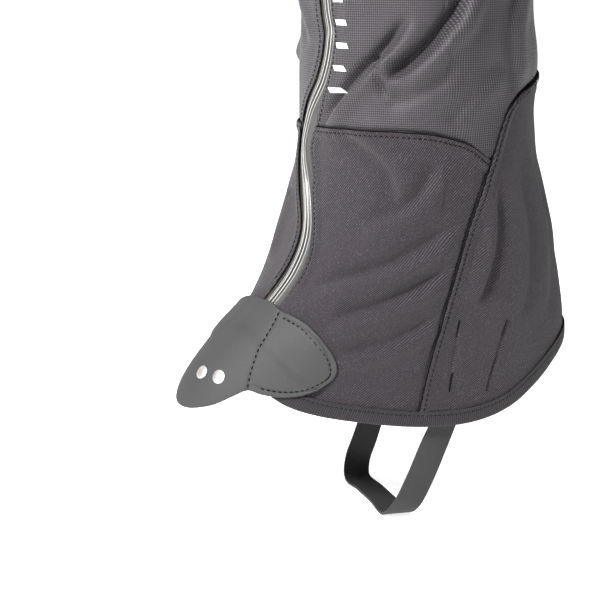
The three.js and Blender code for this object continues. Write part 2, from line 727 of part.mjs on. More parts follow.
function makeRivets() {
  rivetPlaces().forEach(([angle, height], i) => {
    const side = i ? "left" : "right";
    const frame = groupAt(frameAt(angle, height, 0));
    const inner = coverLift(angle, height);
    const headFoot = inner + flapThick + layerGap;
    const plateInner = coverLift(rivetAngle, rivetHeight) - layerGap - hook.thick;
    const burrTop = Math.min(plateInner, inner - hook.thick - layerGap) - 2 * layerGap;
    const tail = burrTop - rivet.burrThick - rivet.tail;
    const profile = [
      [0, tail], [rivet.shank, tail], [rivet.shank, headFoot], [rivet.head, headFoot],
      [rivet.head, headFoot + rivet.dome * 0.35], [rivet.head * 0.8, headFoot + rivet.dome * 0.8],
      [rivet.head * 0.4, headFoot + rivet.dome], [0, headFoot + rivet.dome],
    ].map(([x, y]) => new THREE.Vector2(x, y));
    const body = new THREE.LatheGeometry(profile, 24).rotateX(Math.PI / 2);
    add(`${side}_rivet`, body, "steel", frame);
    const ring = new THREE.Shape().absarc(0, 0, rivet.burr, 0, 2 * Math.PI, false);
    const hole = new THREE.Path().absarc(0, 0, rivet.shank + layerGap, 0, 2 * Math.PI, true);
    ring.holes.push(hole);
    const burr = plate(ring, burrTop - rivet.burrThick, burrTop, 10);
    add(`${side}_rivet_burr`, burr, "steel", frame);
  });
}

// ---- Instep strap and buckle ----

const binding = layerGap + bindingCloth;
const tabFace = binding + layerGap + tabThick; // the outer face of the buckle's webbing
const barLift = tabFace + layerGap + buckle.wire;
const flatLift = tabFace + strap.thick / 2 + 0.8; // the strap's free end
const buckleFrame = frameAt(buckleAngle, buckleHeight, 0, buckleLean);
const inBuckle = (x, y, z) => new THREE.Vector3(x, y, z).applyMatrix4(buckleFrame);

// The same place as in the buckle's frame near the buckle, but following the skin further up.
function besideBuckle(x, y, lift) {
  const [c, s] = [Math.cos(rad(buckleLean)), Math.sin(rad(buckleLean))];
  const place = stepFrom([buckleAngle, buckleHeight], x * c - y * s, x * s + y * c);
  return inBuckle(x, y, lift).lerp(skin(...place, lift), smooth(y, 4, 20));
}

// The strap's centreline where it is threaded through the buckle, then along the panel.
function threadedRoute() {
  const under = barLift - buckle.wire - layerGap - strap.thick / 2;
  const over = barLift + buckle.wire + 2 * layerGap + tabThick + strap.thick / 2;
  const threaded = [
    [-2 * buckle.half - 6, under],
    [-2 * buckle.half, under],
    [-buckle.half, (under + over) / 2],
    [0, over],
    [5, over],
  ];
  return [
    ...threaded.map(([y, z]) => inBuckle(0, y, z)),
    ...[15, 24, 36, freeEnd].map((y) => besideBuckle(0, y, flatLift)),
  ];
}

// Sweeps the strap's flat section along points, each with the direction of the strap's width.
function sweptStrap(stations, steps) {
  const line = new THREE.CatmullRomCurve3(stations.map((s) => s.point), false, "centripetal");
  const sides = new THREE.CatmullRomCurve3(stations.map((s) => s.side), false, "centripetal");
  const flat = new THREE.BoxGeometry(strap.width, strap.thick, 1, 1, 1, steps);
  const place = (x, y, z) => {
    const t = THREE.MathUtils.clamp(z + 0.5, 0, 1);
    const tangent = line.getTangent(t);
    const side = sides.getPoint(t);
    side.addScaledVector(tangent, -side.dot(tangent)).normalize();
    const out = tangent.clone().cross(side);
    return line.getPoint(t).addScaledVector(side, x).addScaledVector(out, y);
  };
  return bend(flat, place);
}

function makeStrap() {
  const middle = -strap.thick / 2;
  const level = new THREE.Vector3(1, 0, 0);
  const leaning = new THREE.Vector3(1, 0, -0.38).normalize();
  const half = level.clone().lerp(leaning, 0.6).normalize();
  const buckleSide = new THREE.Vector3().setFromMatrixColumn(buckleFrame, 0).negate();
  const sewn = anchorRoute.map(([angle, height, depth]) => {
    const side = new THREE.Vector3();
    side.setFromMatrixColumn(frameAt(angle, height, 0, anchorLean), 0);
    return { point: skin(angle, height, -depth), side };
  });
  const stations = [
    ...sewn,
    ...leftRoute.map((p, i) => ({ point: new THREE.Vector3(...p), side: i < 2 ? leaning : half })),
    ...[-archHalf, -archHalf / 3, archHalf / 3, archHalf].map((y) => ({
      point: new THREE.Vector3(0, y, middle),
      side: level,
    })),
    ...rightRoute.map((p, i) => ({ point: new THREE.Vector3(...p), side: i > 0 ? leaning : half })),
    ...threadedRoute().map((point) => ({ point, side: buckleSide })),
  ];
  const body = sweptStrap(stations, 110);
  const tools = [];
  const slot = plate(roundedOutline(prongSlot, -5.5, 5.5, prongSlot / 2 - 0.01), -5, 5, 8);
  tools.push(slot.translate(0, -buckle.half + 1.5, barLift).applyMatrix4(buckleFrame));
  for (let i = 1; i <= strapHoles.count; i++) {
    const hole = bend(rod(strapHoles.radius, 6, "z", 12), (x, y, z) =>
      besideBuckle(x, y + 6 + i * strapHoles.pitch, z + flatLift),
    );
    tools.push(hole);
  }
  add("instep_strap", cut(body, ...tools), "strap");
}

// The patch that backs the strap's sewn end, inside the heel panel.
function makeAnchorPad() {
  const { low, high, from, to, depth, thick } = anchorPad;
  const place = (s, t) => [lerp(lerp(...from, t), lerp(...to, t), s), lerp(low, high, t)];
  add("strap_anchor_pad", sheet(place, -depth - thick, thick, 6, 8), "tape");
}

function makeBuckle() {
  const frame = groupAt(buckleFrame);
  const { half, wide: reach, wire } = buckle;
  const corner = 3;
  const path = new THREE.CurvePath();
  const at = (x, y) => new THREE.Vector3(x, y - half, barLift);
  const [x0, x1, y0, y1] = [-reach, reach, -half, half];
  const arc = (cx, cy, from) => {
    const points = [0, 1, 2, 3, 4].map((i) => {
      const a = from + (i * Math.PI) / 8;
      return at(cx + corner * Math.cos(a), cy + corner * Math.sin(a));
    });
    return points;
  };
  const loop = [
    at(0, y0), ...arc(x1 - corner, y0 + corner, -Math.PI / 2), ...arc(x1 - corner, y1 - corner, 0),
    at(0, y1), ...arc(x0 + corner, y1 - corner, Math.PI / 2), ...arc(x0 + corner, y0 + corner, Math.PI),
  ];
  loop.forEach((p, i) => path.add(new THREE.LineCurve3(p, loop[(i + 1) % loop.length])));
  add("buckle_frame", ringAlong(loop, wire, 12), "steel", frame);
  makeBuckleTab();
  makeProng(frame);
}

// A round wire along a closed, flat loop of points.
function ringAlong(loop, radius, sides) {
  const count = loop.length;
  const centre = new THREE.Vector3();
  loop.forEach((p) => centre.addScaledVector(p, 1 / count));
  const flat = new THREE.TorusGeometry(1, 0.5, sides, count);
  const merged = mergeVertices(
    new THREE.BufferGeometry().setAttribute("position", flat.getAttribute("position")).setIndex(flat.index),
    1e-4,
  );
  const position = merged.getAttribute("position");
  for (let i = 0; i < position.count; i++) {
    const p = new THREE.Vector3().fromBufferAttribute(position, i);
    const share = THREE.MathUtils.euclideanModulo(Math.atan2(p.y, p.x) / (2 * Math.PI), 1);
    const k = Math.round(share * count) % count;
    const out = Math.hypot(p.x, p.y) - 1;
    const before = loop[(k + count - 1) % count];
    const after = loop[(k + 1) % count];
    const tangent = after.clone().sub(before).normalize();
    const normal = new THREE.Vector3(tangent.y, -tangent.x, 0);
    const place = loop[k].clone().addScaledVector(normal, out * 2 * radius);
    position.setXYZ(i, place.x, place.y, place.z + p.z * 2 * radius);
  }
  merged.computeVertexNormals();
  return merged;
}

// Webbing sewn to the panel, folded round the buckle's upper bar, with a notch for the prong.
function makeBuckleTab() {
  const inside = buckle.wire + layerGap;
  const outside = inside + tabThick;
  const profile = new THREE.Shape();
  profile.moveTo(0, barLift + outside);
  profile.absarc(0, barLift, outside, Math.PI / 2, 1.5 * Math.PI, false);
  profile.lineTo(8, barLift - outside);
  profile.lineTo(22, barLift - outside);
  profile.lineTo(tabLength, barLift - outside);
  profile.lineTo(tabLength, barLift - inside);
  profile.lineTo(22, barLift - inside);
  profile.lineTo(9, barLift - inside + 0.1);
  profile.lineTo(3, barLift + outside);
  const hole = new THREE.Path().absarc(0, barLift, inside, 0, 2 * Math.PI, true);
  profile.holes.push(hole);
  const options = { depth: tabWidth, steps: 4, bevelEnabled: false, curveSegments: 8 };
  const body = bend(new THREE.ExtrudeGeometry(profile, options), (y, z, x) =>
    besideBuckle(x - tabWidth / 2, y, z),
  );
  const notch = block(-prongSlot / 2, prongSlot / 2, -outside - 1, outside + 1, -1, barLift + 9);
  add("buckle_tab", cut(body, notch.applyMatrix4(buckleFrame)), "tape");
}

function makeProng(frame) {
  const inside = buckle.wire + layerGap;
  const tip = -2 * buckle.half - buckle.wire;
  const rest = buckle.wire + layerGap + prongWire;
  const line = new THREE.CatmullRomCurve3([
    new THREE.Vector3(0, -inside - 0.2, barLift),
    new THREE.Vector3(0, -buckle.half, barLift + rest * 0.6),
    new THREE.Vector3(0, tip + 2, barLift + rest),
    new THREE.Vector3(0, tip, barLift + rest),
  ]);
  const section = new THREE.Shape().absarc(0, 0, prongWire, 0, 2 * Math.PI, false);
  const options = { steps: 10, bevelEnabled: false, extrudePath: line, curveSegments: 5 };
  const arm = new THREE.ExtrudeGeometry(section, options);
  const eye = rod(inside + 1.2, 3, "x", 20).translate(0, 0, barLift);
  const bore = rod(inside, 6, "x", 20).translate(0, 0, barLift);
  add("buckle_prong", cut(joined(arm, eye), bore), "steel", frame);
}

// The loop that holds down the strap's free end.
function makeKeeper() {
  const inX = strap.width / 2 + 1.6;
  const inLow = layerGap + keeper.wall;
  const inHigh = flatLift + strap.thick / 2 + 0.9;
  const ring = (x, low, high, from, to) => {
    const flat = new THREE.BoxGeometry(2 * x, to - from, high - low, 6, 1, 1);
    flat.translate(0, (from + to) / 2, (low + high) / 2);
    return bend(flat, besideBuckle);
  };
  const { height, width, wall } = keeper;
  const outer = ring(inX + wall, inLow - wall, inHigh + wall, height, height + width);
  const inner = ring(inX, inLow, inHigh, height - 1, height + width + 1);
  add("strap_keeper", cut(outer, inner), "rubber");
}

makePanels();
makeBinding();
makeZip();
makeSlider();
makeCuff();
makeCuffTab();
makeFlap();
makeLaceHook();
makeRivets();
makeStrap();
makeAnchorPad();
makeBuckle();
makeKeeper();

export default gaiter;
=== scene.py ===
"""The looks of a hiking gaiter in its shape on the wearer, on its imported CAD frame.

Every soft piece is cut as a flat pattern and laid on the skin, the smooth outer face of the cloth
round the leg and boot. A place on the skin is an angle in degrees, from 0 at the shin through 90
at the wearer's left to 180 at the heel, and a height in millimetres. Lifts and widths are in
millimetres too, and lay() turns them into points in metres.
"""

import math

import bpy
import numpy as np
from mathutils import Matrix, Vector


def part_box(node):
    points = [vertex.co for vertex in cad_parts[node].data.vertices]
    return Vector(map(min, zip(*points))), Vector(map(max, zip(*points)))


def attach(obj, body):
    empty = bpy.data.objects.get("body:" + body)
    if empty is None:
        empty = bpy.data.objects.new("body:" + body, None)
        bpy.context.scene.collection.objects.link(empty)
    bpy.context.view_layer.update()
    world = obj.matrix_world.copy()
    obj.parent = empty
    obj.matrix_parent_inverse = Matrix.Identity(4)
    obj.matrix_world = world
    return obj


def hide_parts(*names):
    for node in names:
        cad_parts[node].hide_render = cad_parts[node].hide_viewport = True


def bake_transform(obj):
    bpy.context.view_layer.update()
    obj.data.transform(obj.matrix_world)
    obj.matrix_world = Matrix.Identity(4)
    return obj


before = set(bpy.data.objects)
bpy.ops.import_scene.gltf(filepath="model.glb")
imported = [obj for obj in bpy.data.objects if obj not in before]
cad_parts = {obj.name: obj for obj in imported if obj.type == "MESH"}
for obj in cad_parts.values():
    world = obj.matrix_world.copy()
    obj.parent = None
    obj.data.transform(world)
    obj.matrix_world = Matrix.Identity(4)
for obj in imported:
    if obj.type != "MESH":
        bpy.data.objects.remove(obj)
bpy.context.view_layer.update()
MM = 0.001

# ---- Camera ----


def make_camera():
    focus = Vector((-34.5, 34.2, 106.2)) * MM
    turn, rise, distance = math.radians(-17), math.radians(12), 0.9
    back = Vector((math.sin(turn) * math.cos(rise), -math.cos(turn) * math.cos(rise), math.sin(rise)))
    data = bpy.data.cameras.new("camera")
    data.sensor_width = 36
    data.lens = 95.4
    camera = bpy.data.objects.new("camera", data)
    camera.location = focus + back * distance
    camera.rotation_euler = (-back).to_track_quat("-Z", "Y").to_euler()
    bpy.context.scene.collection.objects.link(camera)
    bpy.context.scene.camera = camera


make_camera()

# ---- Pattern lines, close to the part's own: angle, height ----

HEM = [(0, 97), (20, 96), (40, 86.5), (57, 73.5), (80, 64.5), (95, 60.5), (110, 60), (122, 64.5),
       (133, 74), (145, 84.5), (160, 93), (180, 98)]
LOWER_TOP = [(40, 209.5), (67, 209), (85, 207.5), (94, 205), (102, 201)]
TOE_TOP = 209
REAR_ANGLE = 93
REAR_LOW = [(94, 85), (94.5, 112), (96, 130), (99.5, 153), (105, 174)]
JUNCTION = (111, 192)
REAR_HIGH = [(117, 209), (122, 219), (131, 226)]
HEEL_CORNER = (146, 231)
HEEL_TOP = (180, 237)
ZIP_LINE = [(85, 15), (115, 17), (135, 20), (156, 18.5), (178, 9), (198, -1.5), (214, 4),
            (235, 18), (252, 23), (270, 19.5), (285, 18)]
CUFF_TOP = 474
CUFF_HEIGHT = 26
CUFF_FOOT = CUFF_TOP - CUFF_HEIGHT
BINDING = 8.5
TUCK = 6.5  # how far the panels reach down into the binding
ZIP_FLAT = 262  # above this height the zip lies flat for its slider
FLAP_FAR = [(-22, 81), (-25, 93), (-21, 104), (-13, 112)]
FLAP_TOP = [(-13, 112), (-1, 116), (9, 117.5), (19, 117.5), (27.5, 114.5), (36.5, 112.2),
            (45, 108.6), (53.6, 102.4)]
FLAP_FOOT = [(-22, 81), (-15, 75), (-8, 69), (0, 63.5), (8, 61.5), (17, 62), (27, 65.5), (34, 71),
             (38.5, 74.5), (44, 73), (50.5, 72), (57, 73), (62, 76.5)]
FLAP_LOBE = [(62, 76.5), (65, 81.8), (64.4, 88), (60.6, 95.2), (53.6, 102.4)]
STITCH_LINE = [(38.5, 74.5), (27.5, 114.5)]

# ---- The skin, measured on the CAD panels ----


def triangles(*nodes):
    """All triangles of some CAD nodes, as an array of corners in millimetres."""
    found = []
    for name in nodes:
        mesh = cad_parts[name].data
        points = np.array([v.co for v in mesh.vertices]) / MM
        mesh.calc_loop_triangles()
        found.append(points[np.array([t.vertices[:] for t in mesh.loop_triangles])])
    return np.concatenate(found)


def cut_level(corners, height):
    """The points where a level plane cuts the triangles' sides."""
    sides = np.concatenate([corners[:, [0, 1]], corners[:, [1, 2]], corners[:, [2, 0]]])
    low, high = sides[:, 0], sides[:, 1]
    crossing = (low[:, 2] - height) * (high[:, 2] - height) < 0
    low, high = low[crossing], high[crossing]
    share = ((height - low[:, 2]) / (high[:, 2] - low[:, 2]))[:, None]
    return low + (high - low) * share


def measure_sections():
    """Heights, and at each the skin's reach to the toe and to the heel and half its width."""
    panels = triangles(*[f"{side}_{part}_panel" for side in ("left", "right")
                         for part in ("upper", "lower")], "heel_panel")
    flap = triangles("front_flap")
    heights = np.arange(56, CUFF_FOOT - 1, 4.0)
    rows = []
    for height in heights:
        points = cut_level(panels, height)
        back, half = points[:, 0].max(), np.abs(points[:, 1]).max()
        front = -points[:, 0].min()
        if height < 104:
            over = cut_level(flap, height) if height > 64 else cut_level(flap, 64)
            front = -over[:, 0].min() - (2.4 if height < 96 else 1.8)
            front += max(0, 64 - height) * 0.4
        rows.append((front, back if height > 92 else 109.5, half))
    table = np.array(rows)
    for _ in range(3):
        inner = (table[:-2] + 2 * table[1:-1] + table[2:]) / 4
        table = np.vstack([table[:1], inner, table[-1:]])
    return heights, table


LEVELS, SECTIONS = measure_sections()
SLOPE = (SECTIONS[-1] - SECTIONS[-20]) / (LEVELS[-1] - LEVELS[-20])


def section(height):
    height = np.asarray(height, float)
    above = np.maximum(height - LEVELS[-1], 0)
    return [np.interp(height, LEVELS, SECTIONS[:, k]) + above * SLOPE[k] for k in range(3)]


def bare(angle, height):
    """Points of the skin itself, in millimetres."""
    front, back, half = section(height)
    centre = (back - front) / 4
    cosine = np.cos(np.radians(angle))
    reach = np.where(cosine > 0, front + centre, back - centre)
    x = centre - reach * cosine
    return np.stack([x, -half * np.sin(np.radians(angle)), height + 0 * x], -1)


def directions(angle, height):
    """Unit outward direction, and how far a degree round and a millimetre up go on the skin."""
    round_ = (bare(angle + 0.5, height) - bare(angle - 0.5, height))
    up = (bare(angle, height + 2) - bare(angle, height - 2)) / 4
    out = np.cross(round_, up)
    out /= np.linalg.norm(out, axis=-1, keepdims=True)
    return out, np.linalg.norm(round_, axis=-1), np.linalg.norm(up, axis=-1)


def smooth(value, low, high):
    share = np.clip((np.asarray(value, float) - low) / (high - low), 0, 1)
    return share * share * (3 - 2 * share)


def spline(points, t):
    """A smooth line through points, at shares t of its way."""
    points = np.asarray(points, float)
    t = np.clip(np.asarray(t, float), 0, 1) * (len(points) - 1)
    k = np.minimum(t.astype(int), len(points) - 2)
    w = (t - k)[..., None]
    p0, p1 = points[np.maximum(k - 1, 0)], points[k]
    p2, p3 = points[k + 1], points[np.minimum(k + 2, len(points) - 1)]
    v0, v1 = (p2 - p0) / 2, (p3 - p1) / 2
    return ((2 * p1 - 2 * p2 + v0 + v1) * w**3 + (-3 * p1 + 3 * p2 - 2 * v0 - v1) * w**2
            + v0 * w + p1)


def through(pairs, value):
    """A smooth function of one value through pairs, as a monotone cubic."""
    xs, ys = np.array(pairs, float).T
    gaps = np.diff(xs)
    slopes = np.diff(ys) / gaps
    tangents = np.concatenate([slopes[:1], (slopes[1:] + slopes[:-1]) / 2, slopes[-1:]])
    value = np.clip(value, xs[0], xs[-1])
    k = np.clip(np.searchsorted(xs, value, "right") - 1, 0, len(xs) - 2)
    w, h = (value - xs[k]) / gaps[k], gaps[k]
    return ((1 + 2 * w) * (1 - w)**2 * ys[k] + w * (1 - w)**2 * h * tangents[k]
            + w * w * (3 - 2 * w) * ys[k + 1] + w * w * (w - 1) * h * tangents[k + 1])


def hem(angle):
    return through(HEM, np.abs((np.asarray(angle, float) + 180) % 360 - 180))


def zip_angle(height):
    return through(ZIP_LINE, np.asarray(height, float))


# ---- Folds: how the cloth on the wearer departs from the smooth skin ----

# Each crease is a line of places, its depth, its width, and the height and offset of the ridge
# that runs along its left side.
CREASES = [
    ([(106, 298), (95, 271), (87.5, 260), (79, 251), (69, 243), (58, 234)], 8.0, 3.2, 5.0, 7.0),
    ([(72, 270), (61, 255), (50.5, 244), (38, 232), (28.5, 222), (17, 209)], 6.4, 2.9, 3.6, 5.6),
    ([(52, 248), (54, 242), (56, 235), (60, 225)], 3.6, 2.0, 2.2, 4.0),
    ([(112, 345), (108, 318), (104, 296)], 3.0, 7.0, 3.0, 11.0),
    ([(136, 300), (124, 268), (123, 249), (126, 226)], 2.6, 6.5, 2.4, 10.0),
    ([(60, 300), (48, 290), (36, 285), (26, 288)], 2.0, 7.0, 1.8, 9.0),
    ([(96, 240), (84, 232), (70, 226), (58, 222)], 1.5, 4.5, 1.3, 7.0),
    ([(118, 244), (108, 236), (98, 222), (92, 212)], 1.4, 5.0, 1.2, 7.0),
    ([(75, 420), (70, 370), (78, 330), (88, 300)], 2.6, 12.0, 2.6, 18.0),
    ([(135, 430), (140, 380), (132, 340), (136, 310)], 2.4, 12.0, 2.4, 17.0),
    ([(48, 430), (40, 390), (46, 350), (38, 318)], 2.0, 9.0, 2.0, 14.0),
    ([(34, 206), (50, 198), (62, 186), (66, 168)], 2.6, 4.5, 2.2, 7.5),
    ([(88, 196), (80, 180), (66, 168), (50, 164)], 2.6, 4.2, 2.3, 7.0),
    ([(96, 160), (82, 150), (62, 138), (36, 130)], 3.6, 4.2, 3.0, 7.0),
    ([(94, 138), (82, 128), (66, 118), (52, 114)], 3.4, 4.0, 2.8, 6.5),
    ([(94, 114), (84, 104), (72, 97), (62, 96)], 2.6, 3.6, 2.2, 6.0),
    ([(106, 116), (111, 136), (114, 156), (115, 186)], 3.0, 4.2, 2.6, 6.5),
    ([(124, 100), (130, 128), (132, 160), (128, 196)], 1.3, 7.0, 1.2, 10.0),
    ([(142, 104), (150, 130), (156, 160), (148, 200)], 1.6, 9.0, 1.5, 12.0),
    ([(100.2, 110), (101, 96), (101.2, 84), (101.6, 72)], 1.3, 1.1, 0.7, 2.4),
    ([(119.4, 108), (118, 98), (116.4, 84), (114.4, 68)], 1.3, 1.1, 0.7, 2.4),
    ([(170, 130), (182, 160), (196, 182), (205, 205)], 2.2, 9.0, 2.1, 13.0),
    ([(160, 226), (176, 212), (196, 206), (215, 214)], 2.0, 8.0, 1.9, 11.0),
    ([(205, 120), (216, 150), (230, 172), (248, 188)], 1.8, 9.0, 1.8, 13.0),
    ([(-96, 252), (-82, 236), (-66, 226), (-50, 222)], 4.2, 5.0, 3.4, 8.0),
    ([(-70, 270), (-54, 252), (-36, 240), (-22, 236)], 3.8, 5.0, 3.2, 8.0),
    ([(-30, 292), (-18, 276), (-6, 262), (4, 250)], 1.8, 4.0, 1.6, 6.0),
    ([(-120, 300), (-112, 270), (-104, 250), (-100, 236)], 2.8, 8.0, 2.6, 12.0),
    ([(-60, 410), (-66, 370), (-58, 330), (-64, 300)], 2.6, 12.0, 2.6, 17.0),
    ([(-120, 430), (-126, 390), (-118, 350), (-122, 320)], 2.4, 12.0, 2.4, 17.0),
    ([(-12, 176), (-17, 160), (-17.5, 149), (-17, 132)], 3.6, 3.6, 2.0, 6.0),
    ([(-30, 196), (-48, 186), (-70, 180), (-88, 166)], 1.8, 8.0, 1.7, 12.0),
    ([(-60, 90), (-66, 118), (-78, 146), (-92, 170)], 1.4, 9.0, 1.4, 12.0),
    ([(190, 430), (196, 380), (188, 330), (194, 290)], 2.4, 12.0, 2.3, 17.0),
    ([(172, 300), (186, 280), (202, 268), (220, 264)], 2.8, 8.0, 2.6, 12.0),
]
# Where the cloth bags out or falls in: place, width round, height and how far.
BULGES = [
    (-25, 152, 14, 26, 5.0), (-10, 236, 14, 20, 1.8), (84, 232, 26, 12, 1.6),
    (35, 254, 11, 22, 4.2), (-9, 94, 15, 15, -5.0),
    (158, 262, 34, 44, -3.6), (160, 160, 30, 46, -2.4),
    (150, 196, 22, 26, -2.0), (165, 246, 26, 18, 2.2), (60, 120, 22, 22, 0.8),
    (-130, 240, 26, 20, 2.0), (-80, 130, 24, 26, 1.6), (45, 330, 26, 34, 1.2),
    (110, 250, 16, 20, 2.2),
]


def waves(seed, rounds, climbs, count):
    """Smooth seeded variation that joins up round the leg, from about -1 to 1."""
    pick = np.random.default_rng(seed)
    modes = [(pick.integers(1, rounds + 1) * pick.choice([-1, 1]), pick.uniform(-climbs, climbs),
              pick.uniform(0, 2 * math.pi)) for _ in range(count)]

    def at(angle, height):
        total = 0
        for turns, climb, start in modes:
            total = total + np.cos(np.radians(angle) * turns + height * climb + start)
        return total / math.sqrt(count)

    return at


broad_waves = waves(3, 5, 0.03, 9)
small_waves = waves(8, 16, 0.10, 14)
fine_waves = waves(21, 34, 0.26, 16)


def crease(angle, height, degree, line):
    places, depth, width, ridge, offset = line
    path = spline(places, np.linspace(0, 1, 14))
    near = np.full(angle.shape, 1e9)
    side = np.zeros(angle.shape)
    along = np.zeros(angle.shape)
    for k in range(len(path) - 1):
        (a0, h0), (a1, h1) = path[k], path[k + 1]
        turn = (angle - a0 + 180) % 360 - 180
        x, y = turn * degree, height - h0
        dx, dy = (a1 - a0) * degree, h1 - h0
        share = np.clip((x * dx + y * dy) / (dx * dx + dy * dy), 0, 1)
        gap_x, gap_y = x - dx * share, y - dy * share
        gap = np.hypot(gap_x, gap_y)
        closer = gap < near
        near = np.where(closer, gap, near)
        side = np.where(closer, np.sign(dx * gap_y - dy * gap_x) * gap, side)
        along = np.where(closer, (k + share) / (len(path) - 1), along)
    fade = smooth(along, 0, 0.22) * smooth(1 - along, 0, 0.22)
    valley = -depth * np.exp(-(side / width)**2 * np.where(side > 0, 2.2, 0.8))
    hill = ridge * np.exp(-((side - offset) / (0.9 * offset))**2)
    return fade * (valley + hill) * np.exp(-(np.maximum(near - np.abs(side), 0) / width)**2)


def folds(angle, height):
    """How far the cloth stands out from the skin."""
    angle, height = np.broadcast_arrays(np.asarray(angle, float), np.asarray(height, float))
    _, degree, _ = directions(angle, height)
    total = np.zeros(angle.shape)
    for line in CREASES:
        heights = [h for _, h in line[0]]
        close = (height > min(heights) - 40) & (height < max(heights) + 40)
        if close.any():
            total[close] += crease(angle[close], height[close], degree[close], line)
    for at, level, width, tall, depth in BULGES:
        turn = (angle - at + 180) % 360 - 180
        total += depth * np.exp(-(turn / width)**2 - ((height - level) / tall)**2)
    shaft = smooth(height, 205, 240)
    total += broad_waves(angle, height) * (0.25 + 0.9 * shaft)
    total += small_waves(angle, height) * (0.16 + 0.22 * shaft)
    total += fine_waves(angle, height) * 0.05
    taut = smooth(height - hem(angle), 2, 26) * (1 - smooth(height, 425, 450))
    straight_zip = smooth(height, ZIP_FLAT - 16, ZIP_FLAT)
    nearly = 1 - (0.75 + 0.25 * straight_zip) * np.exp(
        -((angle - zip_angle(height) + 180) % 360 - 180)**2 / (90 + 150 * straight_zip))
    gathers = smooth(height, 405, 446) * (1 - 0.5 * smooth(height, 446, 452))
    gathers = gathers * np.cos(np.radians(angle) * 34 + 1.4 * broad_waves(angle, 2 * height))
    return total * (0.12 + 0.88 * taut) * nearly + 0.55 * gathers


def lay(angle, height, lift=0.0):
    """Points on the cloth as it lies on the wearer, at a lift above it, in metres."""
    angle, height, lift = np.broadcast_arrays(
        *(np.asarray(v, float) for v in (angle, height, lift)))
    out, _, _ = directions(angle, height)
    return (bare(angle, height) + out * (folds(angle, height) + lift)[..., None]) * MM


def step(angle, height, along, rise):
    """A place moved by millimetres round the leg and up the skin."""
    _, degree, up = directions(angle, height)
    return angle + along / degree, height + rise / up


# ---- Shader maths ----


class Value:
    """A socket's value in a material, with sums written as Python."""

    def __init__(self, finish, socket):
        self.finish, self.socket = finish, socket

    def math(self, operation, *others):
        values = [self, *others]
        node = self.finish.node("ShaderNodeMath", {"operation": operation},
                                dict(enumerate(values)))
        return Value(self.finish, node.outputs[0])

    def __add__(self, other):
        return self.math("ADD", other)

    def __radd__(self, other):
        return self.math("ADD", other)

    def __mul__(self, other):
        return self.math("MULTIPLY", other)

    def __rmul__(self, other):
        return self.math("MULTIPLY", other)

    def __sub__(self, other):
        return self.math("SUBTRACT", other)

    def __rsub__(self, other):
        return (self * -1) + other

    def __truediv__(self, other):
        return self.math("DIVIDE", other)

    def sine(self):
        return self.math("SINE")

    def size(self):
        return self.math("ABSOLUTE")

    def highest(self, other):
        return self.math("MAXIMUM", other)

    def part(self):
        return self.math("FRACT")

    def between(self, low, high):
        """0 below low, 1 above high and smooth between."""
        node = self.finish.node("ShaderNodeMapRange", {"interpolation_type": "SMOOTHSTEP"},
                                {"Value": self, "From Min": low, "From Max": high})
        return Value(self.finish, node.outputs[0])


class Finish:
    """A procedural material."""

    def __init__(self, name, **constants):
        self.material = bpy.data.materials.new(name)
        self.material.use_nodes = True
        self.tree = self.material.node_tree
        self.tree.nodes.clear()
        self.shader = self.node("ShaderNodeBsdfPrincipled", {}, constants)
        output = self.node("ShaderNodeOutputMaterial", {}, {})
        self.tree.links.new(self.shader.outputs[0], output.inputs["Surface"])
        uv = self.node("ShaderNodeUVMap", {"uv_map": "pattern"}, {})
        split = self.node("ShaderNodeSeparateXYZ", {}, {"Vector": uv.outputs[0]})
        self.u, self.v = Value(self, split.outputs[0]), Value(self, split.outputs[1])
        self.uv = uv.outputs[0]
        self.place = self.node("ShaderNodeTexCoord", {}, {}).outputs["Object"]

    def node(self, kind, settings, inputs):
        made = self.tree.nodes.new(kind)
        for key, value in settings.items():
            setattr(made, key, value)
        for key, value in inputs.items():
            socket = made.inputs[key.replace("_", " ") if isinstance(key, str) else key]
            if isinstance(value, Value):
                value = value.socket
            if isinstance(value, bpy.types.NodeSocket):
                self.tree.links.new(value, socket)
            else:
                socket.default_value = value
        return made

    def noise(self, scale, detail=2.0, rough=0.5, stretch=(1, 1, 1)):
        """Noise from 0 to 1 with features of 1/scale metres."""
        at = self.node("ShaderNodeMapping", {}, {"Vector": self.place, "Scale": stretch})
        made = self.node("ShaderNodeTexNoise", {},
                         {"Vector": at.outputs[0], "Scale": scale, "Detail": detail, "Roughness": rough})
        return Value(self, made.outputs[0])

    def mix(self, first, second, share):
        """A colour between two."""
        made = self.node("ShaderNodeMix", {"data_type": "RGBA"}, {0: share})
        for index, colour in ((6, first), (7, second)):
            if isinstance(colour, Value):
                self.tree.links.new(colour.socket, made.inputs[index])
            else:
                made.inputs[index].default_value = (*colour, 1)
        return Value(self, made.outputs[2])

    def finish(self, colour, rough, bump=None, depth=0.0002):
        """Feeds the shader. The bump's height is from 0 to 1, over a depth in metres."""
        for key, value in (("Base Color", colour), ("Roughness", rough)):
            if isinstance(value, Value):
                self.tree.links.new(value.socket, self.shader.inputs[key])
            elif key == "Base Color":
                self.shader.inputs[key].default_value = (*value, 1)
            else:
                self.shader.inputs[key].default_value = value
        if bump is not None:
            made = self.node("ShaderNodeBump", {}, {"Height": bump, "Distance": depth, "Strength": 1.0})
            self.tree.links.new(made.outputs[0], self.shader.inputs["Normal"])
        return self.material


def grey(level, tint=(1, 1, 1)):
    return tuple(level * t for t in tint)


